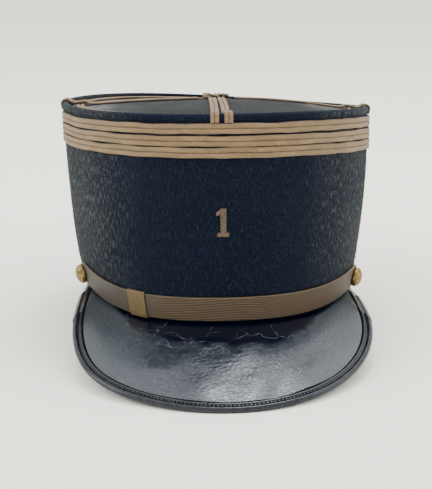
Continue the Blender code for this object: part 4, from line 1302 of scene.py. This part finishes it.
class KEPI_OT_binding(bpy.types.Operator):
    """Build the visor's bound and stitched edge"""
    bl_idname = "kepi.binding"
    bl_label = "Visor binding"

    def execute(self, context):
        c, v = crown(), context.scene.kepi_visor
        cut = v.arc * 0.94
        phi = np.linspace(-cut, cut, 560)[:, None]
        depth = depth_behind_rim(phi)
        section = binding_section()
        inward = np.where(section[:, 0] < 0, np.minimum(1.0, 0.75 * depth / v.binding_width), 1.0)
        point, normal = visor_frame(phi, 1 + section[:, 0] * inward / depth)
        points = point + normal * section[None, :, 1:]
        mesh = skin("bound_edge", points, sharp=45)
        add_piece(mesh, binding_leather("varnished calf binding"),
                  ["visor_binding"])
        self.build_shadow_strip(v, cut)
        self.build_stitches(c, v, cut)
        return {"FINISHED"}

    def build_shadow_strip(self, v, cut):
        """Painted shadow: one flat black thread along the binding's inner edge, standing for the shadow gap
        there.
        """
        phi = np.linspace(-cut, cut, 700)
        depth = depth_behind_rim(phi)
        inward = np.minimum(v.binding_width, 0.75 * depth) + v.shadow_strip_width * 0.4
        way = 1 - inward / depth
        point, normal = visor_frame(phi, way)
        length = np.linalg.norm(visor_point(phi, 1.0) - visor_point(phi, 0.0), axis=-1)
        lift = relief(np.stack([point[:, 0], way * length], axis=-1)) * np.clip((1 - way) / 0.06, 0, 1)
        path = lay_down(point + normal * (v.thickness / 2 + lift)[:, None])
        upward = unit(lay_down(point + normal * 0.01) - lay_down(point))
        mesh = strands("binding_shadow_strip", path[None], upward[None], v.shadow_strip_width / 2, 0.00015, taper=0.8)
        add_piece(mesh, shadow_black("painted shadow black"))

    def build_stitches(self, c, v, cut):
        """Stitches along the flange: short threads that bow a little off the leather, one stitch pitch
        from middle to middle."""
        dense = np.linspace(-cut * 0.985, cut * 0.985, 2000)
        rim = lengths(visor_point(dense, 1.0))
        middles = np.arange(v.stitch_pitch, rim[-1] - v.stitch_pitch, v.stitch_pitch)
        way = np.linspace(-0.5, 0.5, 7)
        at = np.interp(middles[:, None] + way * v.stitch_length, rim, dense)
        depth = depth_behind_rim(at)
        inward = np.minimum(v.binding_width, 0.75 * depth) * 0.62
        point, normal = visor_frame(at, 1 - inward / depth)
        level = v.thickness / 2 + c.clearance + v.flange_lift
        bow = v.stitch_width * (0.35 - 1.6 * way ** 2)
        path = point + normal * (level + bow)[None, :, None]
        path = lay_down(path)
        flat = np.zeros_like(path)
        flat[..., 2] = 1.0
        mesh = strands("edge_stitches", path, flat, v.stitch_width / 2, v.stitch_width / 2)
        add_piece(mesh, sewing_thread("waxed linen thread"))


def embroidery(name):
    """Satin-stitch cotton: threads side by side shine softly and darken where they dip."""
    material, tree, shader = start_material(name, 0.6, Sheen_Weight=0.15, Sheen_Roughness=0.35)
    if tree is None:
        return material
    shades = bpy.context.scene.kepi_colours
    place = add_node(tree, "TexCoord").outputs["Object"]
    cloud = add_node(tree, "TexNoise", {"Vector": place, "Scale": 1.0,
                                                  "Detail": 4.0}, size=(0.0012, 0.0012, 0.0007))
    dark = tuple(part * 0.35 for part in shades.thread)
    shade = add_node(tree, "ValToRGB", {0: cloud},
                     stops=((0.4, tone(dark)), (0.56, tone(shades.thread))))
    tree.links.new(shade.outputs[0], shader.inputs["Base Color"])
    return material


class KEPI_OT_numeral(bpy.types.Operator):
    """Embroider the plain numeral on the crown's front"""
    bl_idname = "kepi.numeral"
    bl_label = "Numeral"

    def execute(self, context):
        g = context.scene.kepi_numeral
        # Blocks of stitches as shares of the width and height: left, right, low and high at the left end,
        # low and high at the right end
        blocks = ((0.32, 0.74, 0.13, 1.0, 0.13, 1.0), (0.06, 0.36, 0.74, 0.84, 0.8, 0.98),
                  (0.1, 0.94, 0.0, 0.15, 0.0, 0.15))
        starts, ends = [], []
        for left, right, low_a, high_a, low_b, high_b in blocks:
            number = max(3, round((max(high_a, high_b) - min(low_a, low_b)) * g.height / g.thread))
            part = (np.arange(number) + 0.5) / number
            starts.append(np.stack([np.full(number, left), low_a + (high_a - low_a) * part], axis=1))
            ends.append(np.stack([np.full(number, right), low_b + (high_b - low_b) * part], axis=1))
        start, end = np.concatenate(starts), np.concatenate(ends)
        stray = np.random.default_rng(SEED).normal(size=start.shape) * (0.018, 0.004)
        way = np.linspace(0, 1, 9)
        flat = (start + stray)[:, None] + (end - stray - start)[:, None] * way[None, :, None]
        out = crown().clearance + g.thickness * (0.25 + 0.55 * np.sin(math.pi * way) ** 0.4)
        theta = -math.pi / 2 + np.arcsin((flat[..., 0] - 0.52) * g.width / (crown().base_width / 2))
        path = above_edge(theta, g.base + flat[..., 1] * g.height, out[None])
        level = np.zeros_like(path)
        level[..., 1] = -1.0
        mesh = strands("embroidered_numeral", lay_down(path), level, g.thread * 0.56, g.thickness * 0.22,
                       sides=7)
        add_piece(mesh, embroidery("satin stitch cotton"), ["numeral"])
        return {"FINISHED"}


def loose_wool(name, shade):
    """Loose wool fibres: fine, matt and paler than the cloth they stand off."""
    material, tree, shader = start_material(name, 0.9)
    if tree is None:
        return material
    place = add_node(tree, "TexCoord").outputs["Object"]
    cloud = add_node(tree, "TexNoise", {"Vector": place, "Scale": 1.0}, size=(0.002, 0.002, 0.002))
    dark = tuple(part * 0.3 for part in shade)
    mixed = add_node(tree, "ValToRGB", {0: cloud},
                     stops=((0.35, tone(dark)), (0.65, tone(shade))))
    tree.links.new(mixed.outputs[0], shader.inputs["Base Color"])
    return material


class KEPI_OT_fibres(bpy.types.Operator):
    """Scatter loose wool fibres and pale lint over the crown"""
    bl_idname = "kepi.fibres"
    bl_label = "Loose fibres"

    def execute(self, context):
        c, shades = crown(), context.scene.kepi_colours
        random = np.random.default_rng(SEED)
        lowest = 0.13
        for name, number, size, width, shade in (
            ("wool_nap", c.fibres, c.fibre_length, 0.00006, shades.nap),
            ("pale_lint", c.lint, c.fibre_length * 0.8, 0.00009, shades.lint),
        ):
            theta = random.uniform(0, 2 * math.pi, number)
            up = random.uniform(lowest, 0.81, number)
            slant = random.normal(0, 0.35, number)
            long = size * random.uniform(0.5, 1.3, number)
            rise = np.stack([np.zeros(number), random.uniform(0.05, 0.18, number),
                             random.uniform(0.02, 0.3, number)], axis=1)
            way = np.linspace(0, 1, 3)
            turn = theta[:, None] + np.sin(slant)[:, None] * long[:, None] * way / (c.base_width / 2)
            drop = np.cos(slant)[:, None] * long[:, None] * way / c.height
            path = wall_point(turn, up[:, None] - drop, rise * long[:, None])
            outward = unit(path * (1.0, 1.0, 0.0))
            mesh = strands(name, lay_down(path), outward, width, width, sides=3, taper=0.2)
            add_piece(mesh, loose_wool(name.replace("_", " "), shade))
        return {"FINISHED"}


class KEPI_OT_stage(bpy.types.Operator):
    """Lay out the pale floor, the soft light and the camera"""
    bl_idname = "kepi.stage"
    bl_label = "Stage"

    def execute(self, context):
        self.build_floor(context)
        self.build_light(context)
        self.build_camera(context)
        return {"FINISHED"}

    def build_floor(self, context):
        """Paper bowl: a flat disc under the cap that curves up as part of a circle far out on all sides."""
        flat, bend = 3.4, 2.6
        turn = np.linspace(0, math.radians(78), 30)
        reach = np.concatenate([[0.4, 1.4], flat + bend * np.sin(turn)])
        rise = np.concatenate([[0.0, 0.0], bend - bend * np.cos(turn)])
        around = np.arange(120) * 2 * math.pi / 120
        points = np.stack(np.broadcast_arrays(reach[:, None] * np.cos(around),
                                              reach[:, None] * np.sin(around),
                                              rise[:, None]), axis=-1)
        grid = np.arange(points.size // 3).reshape(points.shape[:2])
        grid = np.concatenate([grid, grid[:, :1]], axis=1)
        quads = np.stack([grid[:-1, :-1], grid[1:, :-1], grid[1:, 1:], grid[:-1, 1:]], axis=-1).reshape(-1,
                                                                                                        4)
        places = np.concatenate([points.reshape(-1, 3), [[0.0, 0.0, 0.0]]])
        fans = np.stack([np.full(120, len(places) - 1), grid[0, :-1], grid[0, 1:]], axis=1)
        uv = places[np.concatenate([quads.ravel(), fans.ravel()]), :2]
        mesh = fill_mesh("paper_sweep", places, quads, fans, uv)
        material, tree, shader = start_material("matt background paper", 0.9, Specular_IOR_Level=0.1)
        shader.inputs["Base Color"].default_value = tone(context.scene.kepi_colours.floor)
        floor = bpy.data.objects.new("paper_sweep", mesh)
        mesh.materials.append(material)
        context.scene.collection.objects.link(floor)

    def build_light(self, context):
        """A bright even room, a broad soft panel overhead and a little behind, one at each side, and a small
        lamp overhead that shines back from the visor."""
        world = bpy.data.worlds.new("bright room")
        context.scene.world = world
        world.use_nodes = True
        world.node_tree.nodes["Background"].inputs[0].default_value = (1.0, 0.995, 0.98, 1.0)
        world.node_tree.nodes["Background"].inputs[1].default_value = 1.68
        panels = (
            ("overhead_panel", (0.25, 0.55, 1.5), (1.5, 1.0), 9.0),
            ("left_panel", (-1.7, -0.2, 1.1), (1.6, 1.2), 22.0),
            ("right_panel", (1.7, -0.2, 1.1), (1.6, 1.2), 12.0),
            ("warm_lamp", (0.15, 0.33, 1.12), (0.3, 0.2), 4.0),
        )
        for name, place, (width, depth), watts in panels:
            light = bpy.data.lights.new(name, "AREA")
            light.shape, light.size, light.size_y, light.energy = "RECTANGLE", width, depth, watts
            panel = bpy.data.objects.new(name, light)
            context.scene.collection.objects.link(panel)
            panel.location = place
            panel.rotation_euler = look_at(np.array(place), np.array([0.0, 0.0, 0.05]))

    def build_camera(self, context):
        """Camera in front and a little above, rolled slightly, as the photograph was taken."""
        photo_height, photo_focal, photo_shift = 489, 1174.09, 1.84
        away, height, pitch, swing, roll = 0.700, 0.23623, 15.51, -1.94, -0.43
        low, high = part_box("top_plate")
        swing, pitch, roll = math.radians(swing), math.radians(pitch), math.radians(roll)
        middle = high[1] - 0.1015
        place = np.array([away * math.sin(swing), middle - away * math.cos(swing), height])
        forward = np.array([-math.sin(swing) * math.cos(pitch), math.cos(swing) * math.cos(pitch),
                            -math.sin(pitch)])
        right = unit(np.cross(forward, (0.0, 0.0, 1.0)))
        up = np.cross(right, forward)
        turned = np.stack([math.cos(roll) * right + math.sin(roll) * up,
                           math.cos(roll) * up - math.sin(roll) * right, -forward])
        data = bpy.data.cameras.new("photo_camera")
        data.sensor_width = 36.0
        data.lens = photo_focal * data.sensor_width / photo_height
        data.shift_x = -photo_shift / photo_height
        camera = bpy.data.objects.new("photo_camera", data)
        context.scene.collection.objects.link(camera)
        camera.location = place
        camera.rotation_euler = as_euler(turned)
        context.scene.camera = camera


def as_euler(axes):
    """Turn whose X, Y and Z axes are the three rows given."""
    return Matrix(axes.T.tolist()).to_euler()


def look_at(place, target):
    """Turn that points an object's -Z from its place at a target."""
    away = (place - target) / np.linalg.norm(place - target)
    right = np.cross((0.0, 1.0, 0.0) if abs(away[1]) < 0.9 else (1.0, 0.0, 0.0), away)
    right /= np.linalg.norm(right)
    return as_euler(np.stack([right, np.cross(away, right), away]))


class KEPI_PT_panel(bpy.types.Panel):
    bl_label = "Kepi"
    bl_idname = "KEPI_PT_panel"
    bl_space_type = "VIEW_3D"
    bl_region_type = "UI"
    bl_category = "Kepi"

    def draw(self, context):
        for step in STEPS:
            self.layout.operator(step.bl_idname)


GROUPS = {"kepi_crown": KepiCrown, "kepi_braid": KepiBraid, "kepi_strap": KepiStrap,
          "kepi_visor": KepiVisor,
          "kepi_numeral": KepiNumeral, "kepi_colours": KepiColours}
STEPS = (KEPI_OT_stage, KEPI_OT_crown, KEPI_OT_plate, KEPI_OT_rings, KEPI_OT_top_braid, KEPI_OT_strap,
         KEPI_OT_slide, KEPI_OT_buttons, KEPI_OT_visor, KEPI_OT_binding, KEPI_OT_numeral, KEPI_OT_fibres)


def register():
    for group in (*GROUPS.values(), *STEPS, KEPI_PT_panel):
        bpy.utils.register_class(group)
    for name, group in GROUPS.items():
        setattr(bpy.types.Scene, name, bpy.props.PointerProperty(type=group))


def unregister():
    for name in GROUPS:
        delattr(bpy.types.Scene, name)
    for group in (KEPI_PT_panel, *reversed(STEPS), *GROUPS.values()):
        bpy.utils.unregister_class(group)


def main():
    register()
    bpy.ops.kepi.stage()
    bpy.ops.kepi.crown()
    bpy.ops.kepi.plate()
    bpy.ops.kepi.rings()
    bpy.ops.kepi.top_braid()
    bpy.ops.kepi.strap()
    bpy.ops.kepi.slide()
    bpy.ops.kepi.buttons()
    bpy.ops.kepi.visor()
    bpy.ops.kepi.binding()
    bpy.ops.kepi.numeral()
    bpy.ops.kepi.fibres()
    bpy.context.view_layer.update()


if __name__ == "__main__":
    main()
